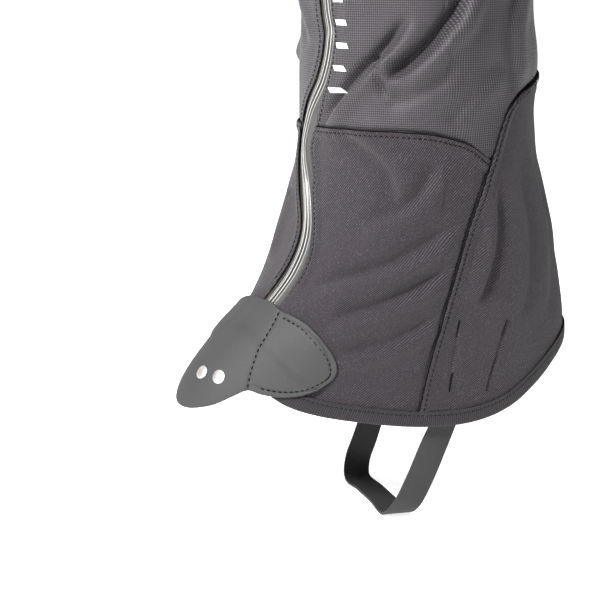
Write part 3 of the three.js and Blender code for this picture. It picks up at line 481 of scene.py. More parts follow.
def ripstop_cloth():
    f = Finish("ripstop", Sheen_Weight=0.1, Sheen_Roughness=0.4, Specular_IOR_Level=0.4)
    pitch = 0.00118
    across, up = (f.u / pitch).part(), (f.v / pitch).part()
    rib_x = 1 - (across - 0.5).size().between(0.10, 0.24)
    rib_y = 1 - (up - 0.5).size().between(0.10, 0.24)
    ribs = rib_x.highest(rib_y)
    knots = rib_x * rib_y
    yarn = ((f.u * (2 * math.pi / 0.00045)).sine() * (f.v * (2 * math.pi / 0.00045)).sine()) * 0.5 + 0.5
    mottle = f.noise(60, 4, 0.6)
    speck = f.noise(900, 2, 0.7)
    base = f.mix(grey(0.006, (1, 0.78, 1.04)), grey(0.012, (1, 0.80, 1.06)), mottle)
    lit = f.mix(base, grey(0.17, (1, 0.88, 1.02)), ribs * 0.08 + knots * 0.48)
    colour = f.mix(lit, grey(0.012), (speck - 0.5).highest(0) * 0.6)
    height = ribs * 0.55 + knots * 0.25 + yarn * 0.16 + speck * 0.12
    return f.finish(colour, 0.56 - ribs * 0.08 + mottle * 0.08, height, 0.00022)


def twill_cloth():
    f = Finish("twill", Sheen_Weight=0.1, Sheen_Roughness=0.5, Specular_IOR_Level=0.25)
    slant = (f.u * 0.82 - f.v * 0.57) / 0.00115
    wale = (slant * (2 * math.pi)).sine() * 0.5 + 0.5
    thread = ((f.u * 0.3 + f.v) * (2 * math.pi / 0.0008)).sine() * 0.5 + 0.5
    mottle = f.noise(45, 4, 0.6)
    speck = f.noise(1100, 3, 0.75)
    base = f.mix(grey(0.003, (1, 0.78, 1.0)), grey(0.034, (1, 0.82, 1.0)), mottle * 0.2 + wale * 0.8)
    colour = f.mix(base, grey(0.16, (1, 0.86, 1.0)), (speck - 0.5).highest(0) * 2.2 * wale)
    height = wale * 0.6 + thread * 0.2 + speck * 0.4
    return f.finish(colour, 0.80 + mottle * 0.1, height, 0.00034)


def ribbed_tape():
    level, pitch = 0.014, 0.0012
    f = Finish("ribbed_tape", Sheen_Weight=0.1, Sheen_Roughness=0.5, Specular_IOR_Level=0.25)
    rib = (f.u * (2 * math.pi / pitch)).sine() * 0.5 + 0.5
    speck = f.noise(1200, 3, 0.7)
    colour = f.mix(grey(level * 0.25, (1, 0.85, 1)), grey(level * 2.2, (1, 0.88, 1)), rib * 0.7 + speck * 0.3)
    return f.finish(colour, 0.85, rib * 0.8 + speck * 0.3, 0.00035)


def zip_cloth():
    f = Finish("zip_tape", Coat_Weight=0.3, Coat_Roughness=0.25, Specular_IOR_Level=0.45)
    mottle = f.noise(200, 3, 0.6)
    out = f.u.size() / MM
    teeth = ((f.v / 0.00125 + f.u / 0.0012).part() - 0.5).size().between(0.12, 0.30)
    chain = 1 - out.between(0.55, 0.85)
    ridge = 1 - (out - 1.25).size().between(0.10, 0.42)
    second = 1 - (out - 3.1).size().between(0.10, 0.40)
    groove = 1 - (out - 2.05).size().between(0.15, 0.55)
    base = f.mix(grey(0.020, (1, 0.95, 0.86)), grey(0.045, (1, 0.95, 0.87)), mottle)
    # Painted highlight: the raised ridge and the second line beside it are painted pale, as the glint of
    # light on the glossy tape.
    painted_ridge_highlights = f.mix(base, grey(0.62, (1, 0.98, 0.94)), ridge * (0.3 + mottle * 0.6) + second * 0.3)
    # Painted shade: the groove between the ridges is painted dark, and the chain band is painted dark both
    # for the black coil and for the shade in its slit, with lighter teeth across it.
    colour = f.mix(painted_ridge_highlights, grey(0.004), groove * 0.75 + chain * (1 - teeth * 0.6))
    weave = (f.v * (2 * math.pi / 0.0007)).sine() * 0.5 + 0.5
    return f.finish(colour, 0.42 + mottle * 0.2, weave * 0.4 + mottle * 0.4, 0.0001)


def coated_rubber(name, low, high, scale=1.0):
    f = Finish(name, Specular_IOR_Level=0.45)
    grain = f.noise(1500 * scale, 4, 0.65)
    blotch = f.noise(70, 4, 0.55)
    dust = f.noise(400, 5, 0.7).between(0.60, 0.78)
    base = f.mix(grey(low, (1, 1, 1.02)), grey(high, (1, 1, 1.02)), blotch)
    colour = f.mix(base, grey(high * 2.6), dust * 0.4)
    return f.finish(colour, 0.62 + blotch * 0.16, grain, 0.00012)


def polished_steel(name="polished_steel", level=0.5, rough=0.2):
    f = Finish(name, Metallic=1.0)
    brushed = f.noise(900, 3, 0.6, (1, 1, 0.15))
    wear = f.noise(160, 4, 0.6)
    colour = f.mix(grey(level * 0.85, (1, 0.93, 0.91)), grey(level, (1, 0.95, 0.93)), wear)
    return f.finish(colour, rough + wear * 0.14 + brushed * 0.05, brushed, 0.00001)


def moulded_nylon():
    f = Finish("moulded_nylon", Specular_IOR_Level=0.5)
    grain = f.noise(2500, 2, 0.5)
    cast = f.noise(120, 3, 0.5)
    return f.finish(f.mix(grey(0.012), grey(0.022), cast), 0.35 + cast * 0.15, grain, 0.00004)


def sewing_thread():
    level = 0.004
    f = Finish("sewing_thread", Specular_IOR_Level=0.08)
    twist = f.noise(3000, 2, 0.5)
    return f.finish(f.mix(grey(level * 0.5), grey(level * 1.6), twist), 0.75, twist, 0.00008)


def knitted_pile(name, level):
    f = Finish(name, Sheen_Weight=0.5, Sheen_Roughness=0.6, Specular_IOR_Level=0.15)
    pile = f.noise(1800, 4, 0.8)
    rows = (f.v * (2 * math.pi / 0.0016)).sine() * 0.5 + 0.5
    return f.finish(f.mix(grey(level * 0.5), grey(level * 1.5), pile), 0.92, pile * 0.8 + rows * 0.3, 0.0005)


def white_print():
    f = Finish("white_print", Specular_IOR_Level=0.3)
    crackle = f.noise(1300, 4, 0.7)
    colour = f.mix(grey(0.62), grey(0.85), crackle.between(0.3, 0.6))
    return f.finish(colour, 0.55, crackle, 0.00006)


LOOKS = {
    "ripstop": ripstop_cloth(), "twill": twill_cloth(), "tape": ribbed_tape(),
    "zip_tape": zip_cloth(), "rubber": coated_rubber("coated_rubber", 0.017, 0.030),
    "strap_rubber": coated_rubber("strap_rubber", 0.009, 0.018, 0.7), "steel": polished_steel(),
    "rivet": polished_steel("rivet_steel", 0.62, 0.34), "nylon": moulded_nylon(), "thread": sewing_thread(),
    "elastic": knitted_pile("knitted_elastic", 0.02), "print": white_print(),
}

# ---- Making meshes ----


def piece(name, points, faces, look, body, uvs=None):
    """A finished mesh with its place in its vertices. It turns itself outwards."""
    points = np.asarray(points, float).reshape(-1, 3)
    fan = [(f[0], f[k], f[k + 1]) for f in faces for k in range(1, len(f) - 1)]
    a, b, c = (points[np.array(fan)[:, k]] for k in range(3))
    if (np.cross(a, b) * c).sum() < 0:
        faces = [tuple(reversed(f)) for f in faces]
    mesh = bpy.data.meshes.new(name)
    mesh.from_pydata(points.tolist(), [], [tuple(int(i) for i in f) for f in faces])
    if uvs is not None:
        uvs = np.asarray(uvs, float).reshape(-1, 2)
        layer = mesh.uv_layers.new(name="pattern")
        corners = np.empty(len(mesh.loops), int)
        mesh.loops.foreach_get("vertex_index", corners)
        layer.data.foreach_set("uv", uvs[corners].ravel().astype(np.float32))
    mesh.materials.append(LOOKS[look])
    mesh.polygons.foreach_set("use_smooth", [True] * len(mesh.polygons))
    mesh.update()
    made = bpy.data.objects.new(name, mesh)
    bpy.context.scene.collection.objects.link(made)
    if body:
        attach(made, body)
    return made


def flat_uv(angle, height):
    """Pattern coordinates in metres: round the leg and up it."""
    front, back, half = section(height)
    return np.stack([np.radians(angle) * (front + back + 2 * half) / 4 * MM, height * MM], -1)


def spaced(length, pitch):
    """Shares of a length, close together at both ends."""
    if length < 12:
        return np.linspace(0, 1, 9)
    ends = np.array((0, 0.15, 0.4, 0.8, 1.4, 2.2, 3.2)) / length
    count = max(2, int((length - 9) / pitch) + 1)
    inner = np.linspace(4.5 / length, 1 - 4.5 / length, count)
    return np.concatenate([ends, inner, 1 - ends[::-1]])


def patch(foot, top, near, far):
    """The patch of skin between four lines. Foot and top run with s, near and far with t."""
    c00, c10, c01, c11 = (line(np.array([end]))[0] for line, end in
                          ((foot, 0), (foot, 1), (top, 0), (top, 1)))

    def place(s, t):
        s_, t_ = s[:, None], t[:, None]
        sides = near(t) * (1 - s_) + far(t) * s_
        ends = foot(s) * (1 - t_) + top(s) * t_
        flat = (c00 * (1 - s_) + c10 * s_) * (1 - t_) + (c01 * (1 - s_) + c11 * s_) * t_
        return (sides + ends - flat).T

    return place


CUTS = {}


def shell(name, place, look, body, thickness=0.7, pitch=1.1, lift=None, soft=0.7):
    """A sheet over a patch, with rounded edges. lift gets angles, heights and the distances from
    the near, far, foot and top edges, and gives the outer face's lift."""
    probe = np.linspace(0, 1, 41)
    wide = [bare(*place(probe, k + 0 * probe)) for k in (0.0, 0.5, 1.0)]
    tall = [bare(*place(k + 0 * probe, probe)) for k in (0.0, 0.5, 1.0)]
    width = max(np.linalg.norm(np.diff(line, axis=0), axis=1).sum() for line in wide)
    height = max(np.linalg.norm(np.diff(line, axis=0), axis=1).sum() for line in tall)
    s, t = spaced(width, pitch), spaced(height, pitch)
    grid_s, grid_t = np.meshgrid(s, t, indexing="ij")
    angle, level = place(grid_s.ravel(), grid_t.ravel())
    flat = bare(angle, level).reshape(len(s), len(t), 3)
    along_s = np.zeros((len(s), len(t)))
    along_s[1:] = np.cumsum(np.linalg.norm(np.diff(flat, axis=0), axis=2), axis=0)
    along_t = np.zeros((len(s), len(t)))
    along_t[:, 1:] = np.cumsum(np.linalg.norm(np.diff(flat, axis=1), axis=2), axis=1)
    edges = [along_s, along_s[-1:] - along_s, along_t, along_t[:, -1:] - along_t]
    edges = [e.ravel() for e in edges]
    across = np.cross(flat[1:, 1:] - flat[:-1, :-1], flat[:-1, 1:] - flat[1:, :-1])
    CUTS[name] = (width * MM, height * MM, np.linalg.norm(across, axis=-1).sum() / 2 * MM * MM)
    border = np.minimum.reduce(edges)
    fullness = 0.25 + 0.75 * np.sqrt(1 - (1 - np.clip(border / soft, 0, 1))**2)
    outer = lift(angle, level, *edges) if callable(lift) else np.full(angle.shape, lift or 0.0)
    half = thickness / 2 * fullness
    middle_lift = outer - thickness / 2
    top_side = lay(angle, level, middle_lift + half)
    under = lay(angle, level, middle_lift - half)
    n, m = len(s), len(t)
    index = np.arange(n * m).reshape(n, m)
    a, b, c, d = index[:-1, :-1], index[1:, :-1], index[1:, 1:], index[:-1, 1:]
    over = np.stack([a, b, c, d], -1).reshape(-1, 4)
    below = over[:, ::-1] + n * m
    rim = np.concatenate([index[:, 0], index[-1, 1:], index[-2::-1, -1], index[0, -2:0:-1]])
    nxt = np.roll(rim, -1)
    wall = np.stack([nxt, rim, rim + n * m, nxt + n * m], -1)
    faces = np.concatenate([over, below, wall])
    uv = flat_uv(angle, level)
    return piece(name, np.concatenate([top_side, under]), faces.tolist(), look, body,
                 np.concatenate([uv, uv]))


def travel(places):
    """Distance along a line of places, and its unit direction on the skin at each."""
    angle, height = places.T
    _, degree, up = directions(angle, height)
    steps = np.stack([np.gradient(angle) * degree, np.gradient(height) * up], -1)
    points = bare(angle, height)
    far = np.concatenate([[0], np.cumsum(np.linalg.norm(np.diff(points, axis=0), axis=1))])
    return far, steps / np.linalg.norm(steps, axis=1, keepdims=True)


def beside(places, way, across):
    """Angles and heights of places moved to the left of their way, in millimetres."""
    return step(places[:, 0], places[:, 1], -way[:, 1] * across, way[:, 0] * across)


def evenly(line, pitch, inset=0.0):
    """Places along a line, a pitch apart."""
    rough = line(np.linspace(0, 1, 400))
    far, _ = travel(rough)
    count = max(2, int(round((far[-1] - 2 * inset) / pitch)) + 1)
    wanted = np.linspace(inset, far[-1] - inset, count)
    return np.stack([np.interp(wanted, far, rough[:, k]) for k in (0, 1)], -1)


def strip(name, places, profile, look, body, settle=None):
    """A closed profile of (across, lift) swept along places. Across is to the left of travel.
    The pattern's u runs along and v across, except on the zip."""
    far, way = travel(places)
    across, lift = np.array(profile, float).T
    angle = places[:, 0][:, None]
    height = places[:, 1][:, None]
    angle, height = step(angle + 0 * across, height + 0 * across,
                         -way[:, 1][:, None] * across, way[:, 0][:, None] * across)
    lift = lift[None, :] + 0 * angle
    if settle:
        share = settle(places[:, 1])[:, None]
        lift = lift.min() - 0.8 * (1 - share) + (lift - lift.min()) * share
    points = lay(angle, height, lift)
    n, m = points.shape[:2]
    index = np.arange(n * m).reshape(n, m)
    here, there = index[:-1], index[1:]
    quads = np.stack([here, there, np.roll(there, -1, 1), np.roll(here, -1, 1)], -1).reshape(-1, 4)
    faces = quads.tolist() + [index[0].tolist(), index[-1][::-1].tolist()]
    uv = np.stack(np.broadcast_arrays(far[:, None] * MM, across[None, :] * MM), -1)
    outline = np.array(profile + profile[:1])
    girth = np.linalg.norm(np.diff(outline, axis=0), axis=1).sum() / 2
    CUTS[name] = (far[-1] * MM, girth * MM, far[-1] * girth * MM * MM)
    if look == "zip_tape":
        uv = uv[..., ::-1]
    return piece(name, points, faces, look, body, uv)


def rounded(x0, x1, y0, y1, radius, count=4):
    """A rectangle's outline with round corners, anticlockwise."""
    made = []
    for cx, cy, start in ((x1 - radius, y0 + radius, -90), (x1 - radius, y1 - radius, 0),
                          (x0 + radius, y1 - radius, 90), (x0 + radius, y0 + radius, 180)):
        for k in range(count + 1):
            turn = math.radians(start + 90 * k / count)
            made.append((cx + radius * math.cos(turn), cy + radius * math.sin(turn)))
    return made


def bead():
    """A long bead from -0.5 to 0.5 along x, of radius 0.5: one stitch of thread."""
    rings, sides = 5, 7
    turns = np.linspace(0, math.pi, rings + 2)
    points = [(-0.5, 0, 0)]
    for turn in turns[1:-1]:
        width = 0.5 * math.sin(turn)**0.5
        points += [(-0.5 * math.cos(turn), width * math.cos(a), width * math.sin(a))
                   for a in np.linspace(0, 2 * math.pi, sides, endpoint=False)]
    points.append((0.5, 0, 0))
    faces = [(0, 1 + (k + 1) % sides, 1 + k) for k in range(sides)]
    for r in range(rings - 1):
        base = 1 + r * sides
        faces += [(base + k, base + (k + 1) % sides, base + sides + (k + 1) % sides, base + sides + k)
                  for k in range(sides)]
    base, last = 1 + (rings - 1) * sides, len(points) - 1
    faces += [(base + k, base + (k + 1) % sides, last) for k in range(sides)]
    return np.array(points), faces


def threads(name, starts, ends, width, tall, body, sag=0.0):
    """Stitches from starts to ends, each a bead of thread. All in metres."""
    shape, faces = bead()
    starts, ends = np.asarray(starts), np.asarray(ends)
    span = ends - starts
    length = np.linalg.norm(span, axis=1, keepdims=True)
    x = span / length
    middle = (starts + ends) / 2
    hub = np.array([np.full(len(middle), 0.02), 0 * middle[:, 1], middle[:, 2]]).T
    out = middle - hub
    z = out - (out * x).sum(1, keepdims=True) * x
    z /= np.linalg.norm(z, axis=1, keepdims=True)
    y = np.cross(z, x)
    points = (middle[:, None] + x[:, None] * (shape[:, :1] * length[:, None])
              + y[:, None] * shape[:, 1:2] * width + z[:, None] * shape[:, 2:3] * tall)
    points = points - z[:, None] * (sag * (2 * shape[:, :1])**2)
    every = [tuple(int(i) + k * len(shape) for i in f) for k in range(len(middle)) for f in faces]
    return piece(name, points.reshape(-1, 3), every, "thread", body)


def stitches(name, line, body, lift, pitch=2.7, share=0.66, across=0.0, width=0.62, inset=1.5):
    """A row of stitches along a line, to its left by across."""
    places = evenly(line, pitch, inset)
    _, way = travel(places)
    angle, height = beside(places, way, across)
    _, degree, up = directions(angle, height)
    reach = pitch * share / 2
    ends = []
    for sign in (-1, 1):
        a = angle + sign * reach * way[:, 0] / degree
        h = height + sign * reach * way[:, 1] / up
        value = lift(a, h) if callable(lift) else lift
        ends.append(lay(a, h, value))
    return threads(name, ends[0], ends[1], width * MM, width * 0.8 * MM, body, 0.12 * MM)


# ---- Lines of the pattern ----


def line(*places):
    return lambda t: spline(places, t)


def straight(start, end):
    start, end = np.array(start, float), np.array(end, float)
    return lambda t: start + (end - start) * np.asarray(t)[:, None]


def mirrored(run):
    return lambda t: run(t) * (-1, 1)


def turned(run):
    return lambda t: run(t) + (360, 0)


def backwards(run):
    return lambda t: run(1 - t)


def then(first, second, share):
    def run(t):
        early = (t < share)[:, None]
        return np.where(early, first(np.clip(t / share, 0, 1)),
                        second(np.clip((t - share) / (1 - share), 0, 1)))
    return run


def beside_zip(height, across):
    """Places at heights, a distance to the wearer's left of the zip."""
    height = np.asarray(height, float)
    angle = zip_angle(height)
    _, degree, _ = directions(angle, height)
    slope = (zip_angle(height + 1) - zip_angle(height - 1)) / 2 * degree
    return np.stack([angle + across * np.hypot(1, slope) / degree, height], -1)


# How far each side's folded edge lies from the zip's centre: height, distance.
LEFT_EDGE = [(85, 6.5), (119, 7.0), (139, 6.8), (158, 4.6), (172, 5.4), (186, 9.5), (200, 13.0),
             (213, 10.5), (226, 5.6), (246, 4.4), (272, 4.8), (288, 6.3), (440, 6.3)]
RIGHT_EDGE = [(85, 8.0), (119, 7.5), (139, 5.4), (158, 4.8), (178, 7.5), (200, 7.5), (214, 5.6),
              (240, 4.8), (270, 5.2), (288, 6.3), (440, 6.3)]


def left_edge(low, high, extra=0.0):
    return lambda t: beside_zip(low + (high - low) * t,
                                through(LEFT_EDGE, low + (high - low) * t) + extra)


def right_edge(low, high, extra=0.0):
    return lambda t: beside_zip(low + (high - low) * t,
                                -through(RIGHT_EDGE, low + (high - low) * t) - extra)


def edge_at(edge, height):
    """The place of a side's folded edge at a height."""
    return edge(height, height)(np.array([0.0]))[0]


def hem_edge(start, end, rise):
    """A line beside the hem, so far up the skin from it."""
    def run(t):
        angle = start + (end - start) * t
        height = hem(angle)
        _, _, up = directions(angle, height)
        return np.stack([angle, height + rise / up], -1)
    return run


rear_foot = (REAR_ANGLE, float(hem_edge(REAR_ANGLE, REAR_ANGLE, -TUCK)(np.array([0.0]))[0, 1]))
low_seam = line(rear_foot, *REAR_LOW, JUNCTION)
high_seam = line(JUNCTION, *REAR_HIGH, HEEL_CORNER)
crown_seam = line(HEEL_CORNER, HEEL_TOP)
side_seam = then(low_seam, high_seam, 0.72)
heel_crown = then(crown_seam, turned(mirrored(backwards(crown_seam))), 0.5)
toe_left = edge_at(left_edge, TOE_TOP)
toe_right = edge_at(right_edge, TOE_TOP)
left_top = line(tuple(toe_left), *LOWER_TOP, JUNCTION)
flipped = [(-a, h) for a, h in [JUNCTION, *LOWER_TOP[::-1]]]
right_top = line(*flipped, tuple(toe_right))


def shifted(run, across):
    """A line moved to the left of its travel, in millimetres."""
    def moved(t):
        places = run(t)
        fine = run(np.linspace(0, 1, 200))
        _, way = travel(fine)
        way = np.stack([np.interp(t, np.linspace(0, 1, 200), way[:, k]) for k in (0, 1)], -1)
        angle, height = beside(places, way, across)
        return np.stack([angle, height], -1)
    return moved


# ---- Panels ----

LIP = 1.25


def lip(distance, height=LIP):
    """A sewn edge's thickness: doubled at the edge, with a dent at the stitches."""
    dent = 0.45 * np.exp(-((distance - 2.1) / 0.5)**2)
    return height * (1 - smooth(distance, 3.4, 7.5)) - dent


def pucker(distance, angle, level, depth=0.16):
    """Small gathers beside a row of stitches."""
    wave = np.cos((angle * 1.15 + level) * 2 * math.pi / 7.3) + 0.6 * np.cos((angle - level) * 1.7)
    return depth * wave * np.exp(-(distance / 6.0)**2)


def under_flap(level):
    return smooth(level, 119, 132)


def make_panels():
    left_foot = edge_at(left_edge, 92)
    right_foot = edge_at(right_edge, 92)

    def lower_lift(near_is_zip):
        def lift(angle, level, near, far, foot, top):
            at_zip, at_rear = (near, far) if near_is_zip else (far, near)
            edge = lip(at_zip, 0.9) * under_flap(level)
            crown = lip(top) * smooth(at_rear, 0, 3)
            groove = -1.5 * np.exp(-((at_rear - 3.9) / 0.9)**2)
            return (np.maximum(edge, crown) + pucker(top, angle, level)
                    + pucker(at_rear, angle, level) + groove)
        return lift

    under = shifted(low_seam, -3.3)
    behind = under(np.array([0.0, 1.0]))
    lower = patch(hem_edge(left_foot[0], behind[0, 0], -TUCK),
                  line(tuple(toe_left), *LOWER_TOP, tuple(behind[1])),
                  left_edge(left_foot[1] - 4, TOE_TOP), under)
    left_lower = shell("left_lower_cloth", lower, "twill", "cover", 0.7, 1.15, lower_lift(True))
    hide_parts("left_lower_panel")
    across = [(-a, h) for a, h in [tuple(behind[1]), *LOWER_TOP[::-1]]]
    lower = patch(hem_edge(-behind[0, 0], right_foot[0], -TUCK), line(*across, tuple(toe_right)),
                  mirrored(under), right_edge(right_foot[1] - 4, TOE_TOP))
    right_lower = shell("right_lower_cloth", lower, "twill", "cover", 0.7, 1.2, lower_lift(False))
    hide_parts("right_lower_panel")

    heel = patch(hem_edge(REAR_ANGLE, 360 - REAR_ANGLE, -TUCK), heel_crown, side_seam,
                 turned(mirrored(side_seam)))

    def heel_lift(angle, level, near, far, foot, top):
        edges = np.maximum(np.maximum(lip(near), lip(far)), lip(top))
        return edges + pucker(np.minimum(near, far), angle, level)

    heel_cloth = shell("heel_cloth", heel, "twill", "cover", 0.7, 1.3, heel_lift)
    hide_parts("heel_panel")

    rise = then(high_seam, crown_seam, 0.6)
    head = CUFF_FOOT + 3

    def upper_lift(near_is_zip):
        def lift(angle, level, near, far, foot, top):
            at_zip, at_back = (near, far) if near_is_zip else (far, near)
            by_puller = smooth(level, 250, 260) * (1 - smooth(level, 292, 300))
            edge = lip(at_zip, 0.8) * (1 - 0.85 * by_puller)
            back = lip(at_back, 0.7) if near_is_zip else 0 * at_back
            tuck = -0.5 * (1 - smooth(foot, 3, 7)) - 1.4 * np.exp(-((foot - 3.6) / 0.9)**2)
            return np.maximum(edge, back) + tuck + pucker(foot, angle, level, 0.2)
        return lift

    tucked = shifted(then(left_top, rise, 0.5), -3.0)
    upper = patch(tucked, straight(edge_at(left_edge, head), (180, head)),
                  left_edge(TOE_TOP - 3, head), straight((180, HEEL_TOP[1] - 3), (180, head)))
    left_upper = shell("left_upper_cloth", upper, "ripstop", "cover", 0.55, 1.15, upper_lift(True))
    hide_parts("left_upper_panel")
    tucked = shifted(then(mirrored(backwards(rise)), right_top, 0.5), -3.0)
    upper = patch(tucked, straight((-180, head), edge_at(right_edge, head)),
                  straight((-180, HEEL_TOP[1] - 3), (-180, head)), right_edge(TOE_TOP - 3, head))
    right_upper = shell("right_upper_cloth", upper, "ripstop", "cover", 0.55, 1.15, upper_lift(False))
    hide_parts("right_upper_panel")


def seam_shadow_wire(name, run, across=-0.35):
    """A dark wire of thread under a seam's lip: painted shade, standing for the shadow line along the seam.
    """
    places = evenly(shifted(run, -across), 1.2, 0.6)
    wire(name, lay(places[:, 0], places[:, 1], 0.3), 0.4 * MM, "thread", "cover", 8)


def make_seam_stitches():
    # Painted shade: black wires along the seams stand for the shadow line under each lip.
    seam_shadow_wire("left_crown_seam_shadow", left_top)
    seam_shadow_wire("right_crown_seam_shadow", right_top)
    seam_shadow_wire("left_rear_seam_shadow", side_seam)
    seam_shadow_wire("right_rear_seam_shadow", mirrored(side_seam), 0.35)
    on_lip = LIP - 0.12
    stitches("left_crown_stitches", left_top, "cover", on_lip, across=-2.1)
    stitches("right_crown_stitches", right_top, "cover", on_lip, across=-2.1)
    stitches("left_rear_stitches", side_seam, "cover", on_lip, across=-2.1, inset=8)
    stitches("right_rear_stitches", mirrored(side_seam), "cover", on_lip, across=2.4, inset=8)
    stitches("heel_crown_stitches", heel_crown, "cover", on_lip, across=-2.1)
    stitches("back_seam_stitches", straight((180, 240), (180, CUFF_FOOT)), "cover", 0.65, across=2.4)
    low = 128
    stitches("left_zip_stitches", left_edge(low, CUFF_FOOT - 2, 2.4), "cover", 0.84, width=0.55)
    stitches("right_zip_stitches", right_edge(low, CUFF_FOOT - 2, 2.4), "cover", 0.84, width=0.55)


# ---- Hem binding ----


def make_binding():
    start = float(edge_at(left_edge, 95)[0])
    end = 360 + float(edge_at(right_edge, 95)[0])
    places = evenly(hem_edge(start, end, 0), 1.1)
    top, fold = 1.25, -BINDING
    profile = [(0.1, top - 0.55), (0.05, top - 0.2), (-0.25, top), (-1.2, top + 0.05),
               (-1.9, top - 0.22), (-2.6, top + 0.02), (-4.0, top + 0.12), (-6.0, top + 0.12),
               (-7.4, top + 0.02), (-8.2, top - 0.4), (fold, top - 1.2), (fold - 0.05, -0.4),
               (fold + 0.15, -1.4), (-8.0, -2.0), (-7.0, -2.15), (-0.3, -2.15), (0.0, -1.9),
               (0.0, -1.5), (-0.3, -1.3), (-7.2, -1.3), (-7.6, -0.8), (-7.6, 0.1), (-7.2, 0.45),
               (-0.3, 0.5)]
    made = strip("hem_tape", places, profile[::-1], "tape", "cover")
    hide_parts("hem_binding")
    stitches("hem_stitches", hem_edge(start + 1, end - 1, -1.9), "cover", top - 0.1, pitch=2.5,
             width=0.5)


# ---- Zip ----


def flattened(height):
    """The tapes lie flatter where the slider runs."""
    return 1 - 0.45 * smooth(height, ZIP_FLAT - 10, ZIP_FLAT) - 0.2 * smooth(height, 282, 290)


def make_zip():
    low, high = 98.0, CUFF_FOOT - 1.0
    places = evenly(lambda t: beside_zip(low + (high - low) * t, 0.0), 1.0)
    base = -1.5
    half = [(0.22, base), (0.30, base + 0.9), (0.60, base + 1.35), (0.95, base + 1.75),
            (1.25, base + 1.85), (1.55, base + 1.65), (1.85, base + 1.05), (2.2, base + 0.8),
            (2.6, base + 0.95), (2.85, base + 1.3), (3.1, base + 1.36), (3.35, base + 1.2),
            (3.7, base + 0.75), (4.3, base + 0.7), (6.5, base + 0.6), (13.0, base + 0.5),
            (13.2, base + 0.2), (13.0, base - 0.05)]
    for side, sign in (("left", 1), ("right", -1)):
        profile = [(-sign * x, y) for x, y in half]
        made = strip(f"{side}_zip_tape_cloth", places, profile, "zip_tape", "cover", flattened)
        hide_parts(f"zip_tape_{side}")
        coil = make_coil(f"{side}_zip_coil_wire", sign, low + 16, high - 4)
        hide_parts(f"zip_coil_{side}")


def make_coil(name, sign, low, high):
    """The moulded spiral sewn behind a tape."""
    places = evenly(lambda t: beside_zip(low + (high - low) * t, 0.0), 0.104)
    far, way = travel(places)
    turn = far / 1.25 * 2 * math.pi
    across = -sign * (1.75 - 1.35 * np.cos(turn) * 0.98)
    lift = -3.3 + 0.72 * np.sin(turn)
    angle, height = beside(places, way, across)
    path = lay(angle, height, lift)
    return wire(name, path, 0.30 * MM, "nylon", "cover", 5)


def wire(name, path, radius, look, body, sides=10):
    """A round wire along points in metres, closed at its ends."""
    path = np.asarray(path, float)
    tangent = np.gradient(path, axis=0)
    tangent /= np.linalg.norm(tangent, axis=1, keepdims=True)
    side = np.cross(tangent, np.array([0.03, 0.05, 1.0]))
    side /= np.linalg.norm(side, axis=1, keepdims=True)
    up = np.cross(side, tangent)
    turns = np.linspace(0, 2 * math.pi, sides, endpoint=False)
    ring = (side[:, None] * np.cos(turns)[None, :, None] + up[:, None] * np.sin(turns)[None, :, None])
    points = path[:, None] + ring * radius
    n = len(path)
    index = np.arange(n * sides).reshape(n, sides)
    here, there = index[:-1], index[1:]
    quads = np.stack([here, np.roll(here, -1, 1), np.roll(there, -1, 1), there], -1).reshape(-1, 4)
    faces = quads.tolist() + [index[0][::-1].tolist(), index[-1].tolist()]
    return piece(name, points, faces, look, body)


# ---- Front flap ----


def cover_lift(angle, level):
    """The flap's inner face above the cloth."""
    over_binding = 1 - smooth(level, hem(angle) + 3, hem(angle) + 9)
    over_patch = smooth(-angle, -12, 0) * smooth(level, 88, 96)
    return 0.5 + np.maximum(1.45 * over_binding, 2.3 * over_patch)


def make_flap():
    flap = patch(line(*FLAP_FOOT), line(*FLAP_TOP), line(*FLAP_FAR), line(*FLAP_LOBE))

    def lift(angle, level, near, far, foot, top):
        border = np.minimum.reduce([near, far, foot, top])
        groove = 0.5 * np.exp(-((np.minimum(np.minimum(far, top + 9 * smooth(-angle, -34, -24)),
                                             foot + 9 * smooth(-angle, -40, -34)) - 3.2) / 0.6)**2)
        a = STITCH_LINE[0][0] + (STITCH_LINE[1][0] - STITCH_LINE[0][0]) * (level - 74.5) / 40
        _, degree, _ = directions(angle, level)
        valley = 0.5 * np.exp(-(((angle - a) * degree) / 0.7)**2)
        return 1.3 + cover_lift(angle, level) - groove - valley - 0.15 * np.exp(-border / 0.8)

    made = shell("front_flap_rubber", flap, "rubber", None, 1.3, 0.8, lift, 0.45)
    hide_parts("front_flap", "flap_lobe")
    before, after = lay(35.0, 94.5, 1.5), lay(28.0, 94.5, 1.5)
    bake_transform(made)
    face = lambda a, h: cover_lift(a, h) + 1.16
    stitches("flap_line_stitches", straight(*STITCH_LINE), "cover", face, 3.1, inset=2.5, width=0.8)
    lobe = line((41, 74.3), *FLAP_FOOT[9:], *FLAP_LOBE[1:], *FLAP_TOP[:4:-1], (30.5, 113.6))
    stitches("flap_lobe_stitches", lobe, "cover", face, 3.1, across=3.1, inset=3, width=0.8)


# ---- Hardware: rounded copies of the CAD pieces ----


def alone(made):
    bpy.ops.object.select_all(action="DESELECT")
    made.select_set(True)
    bpy.context.view_layer.objects.active = made


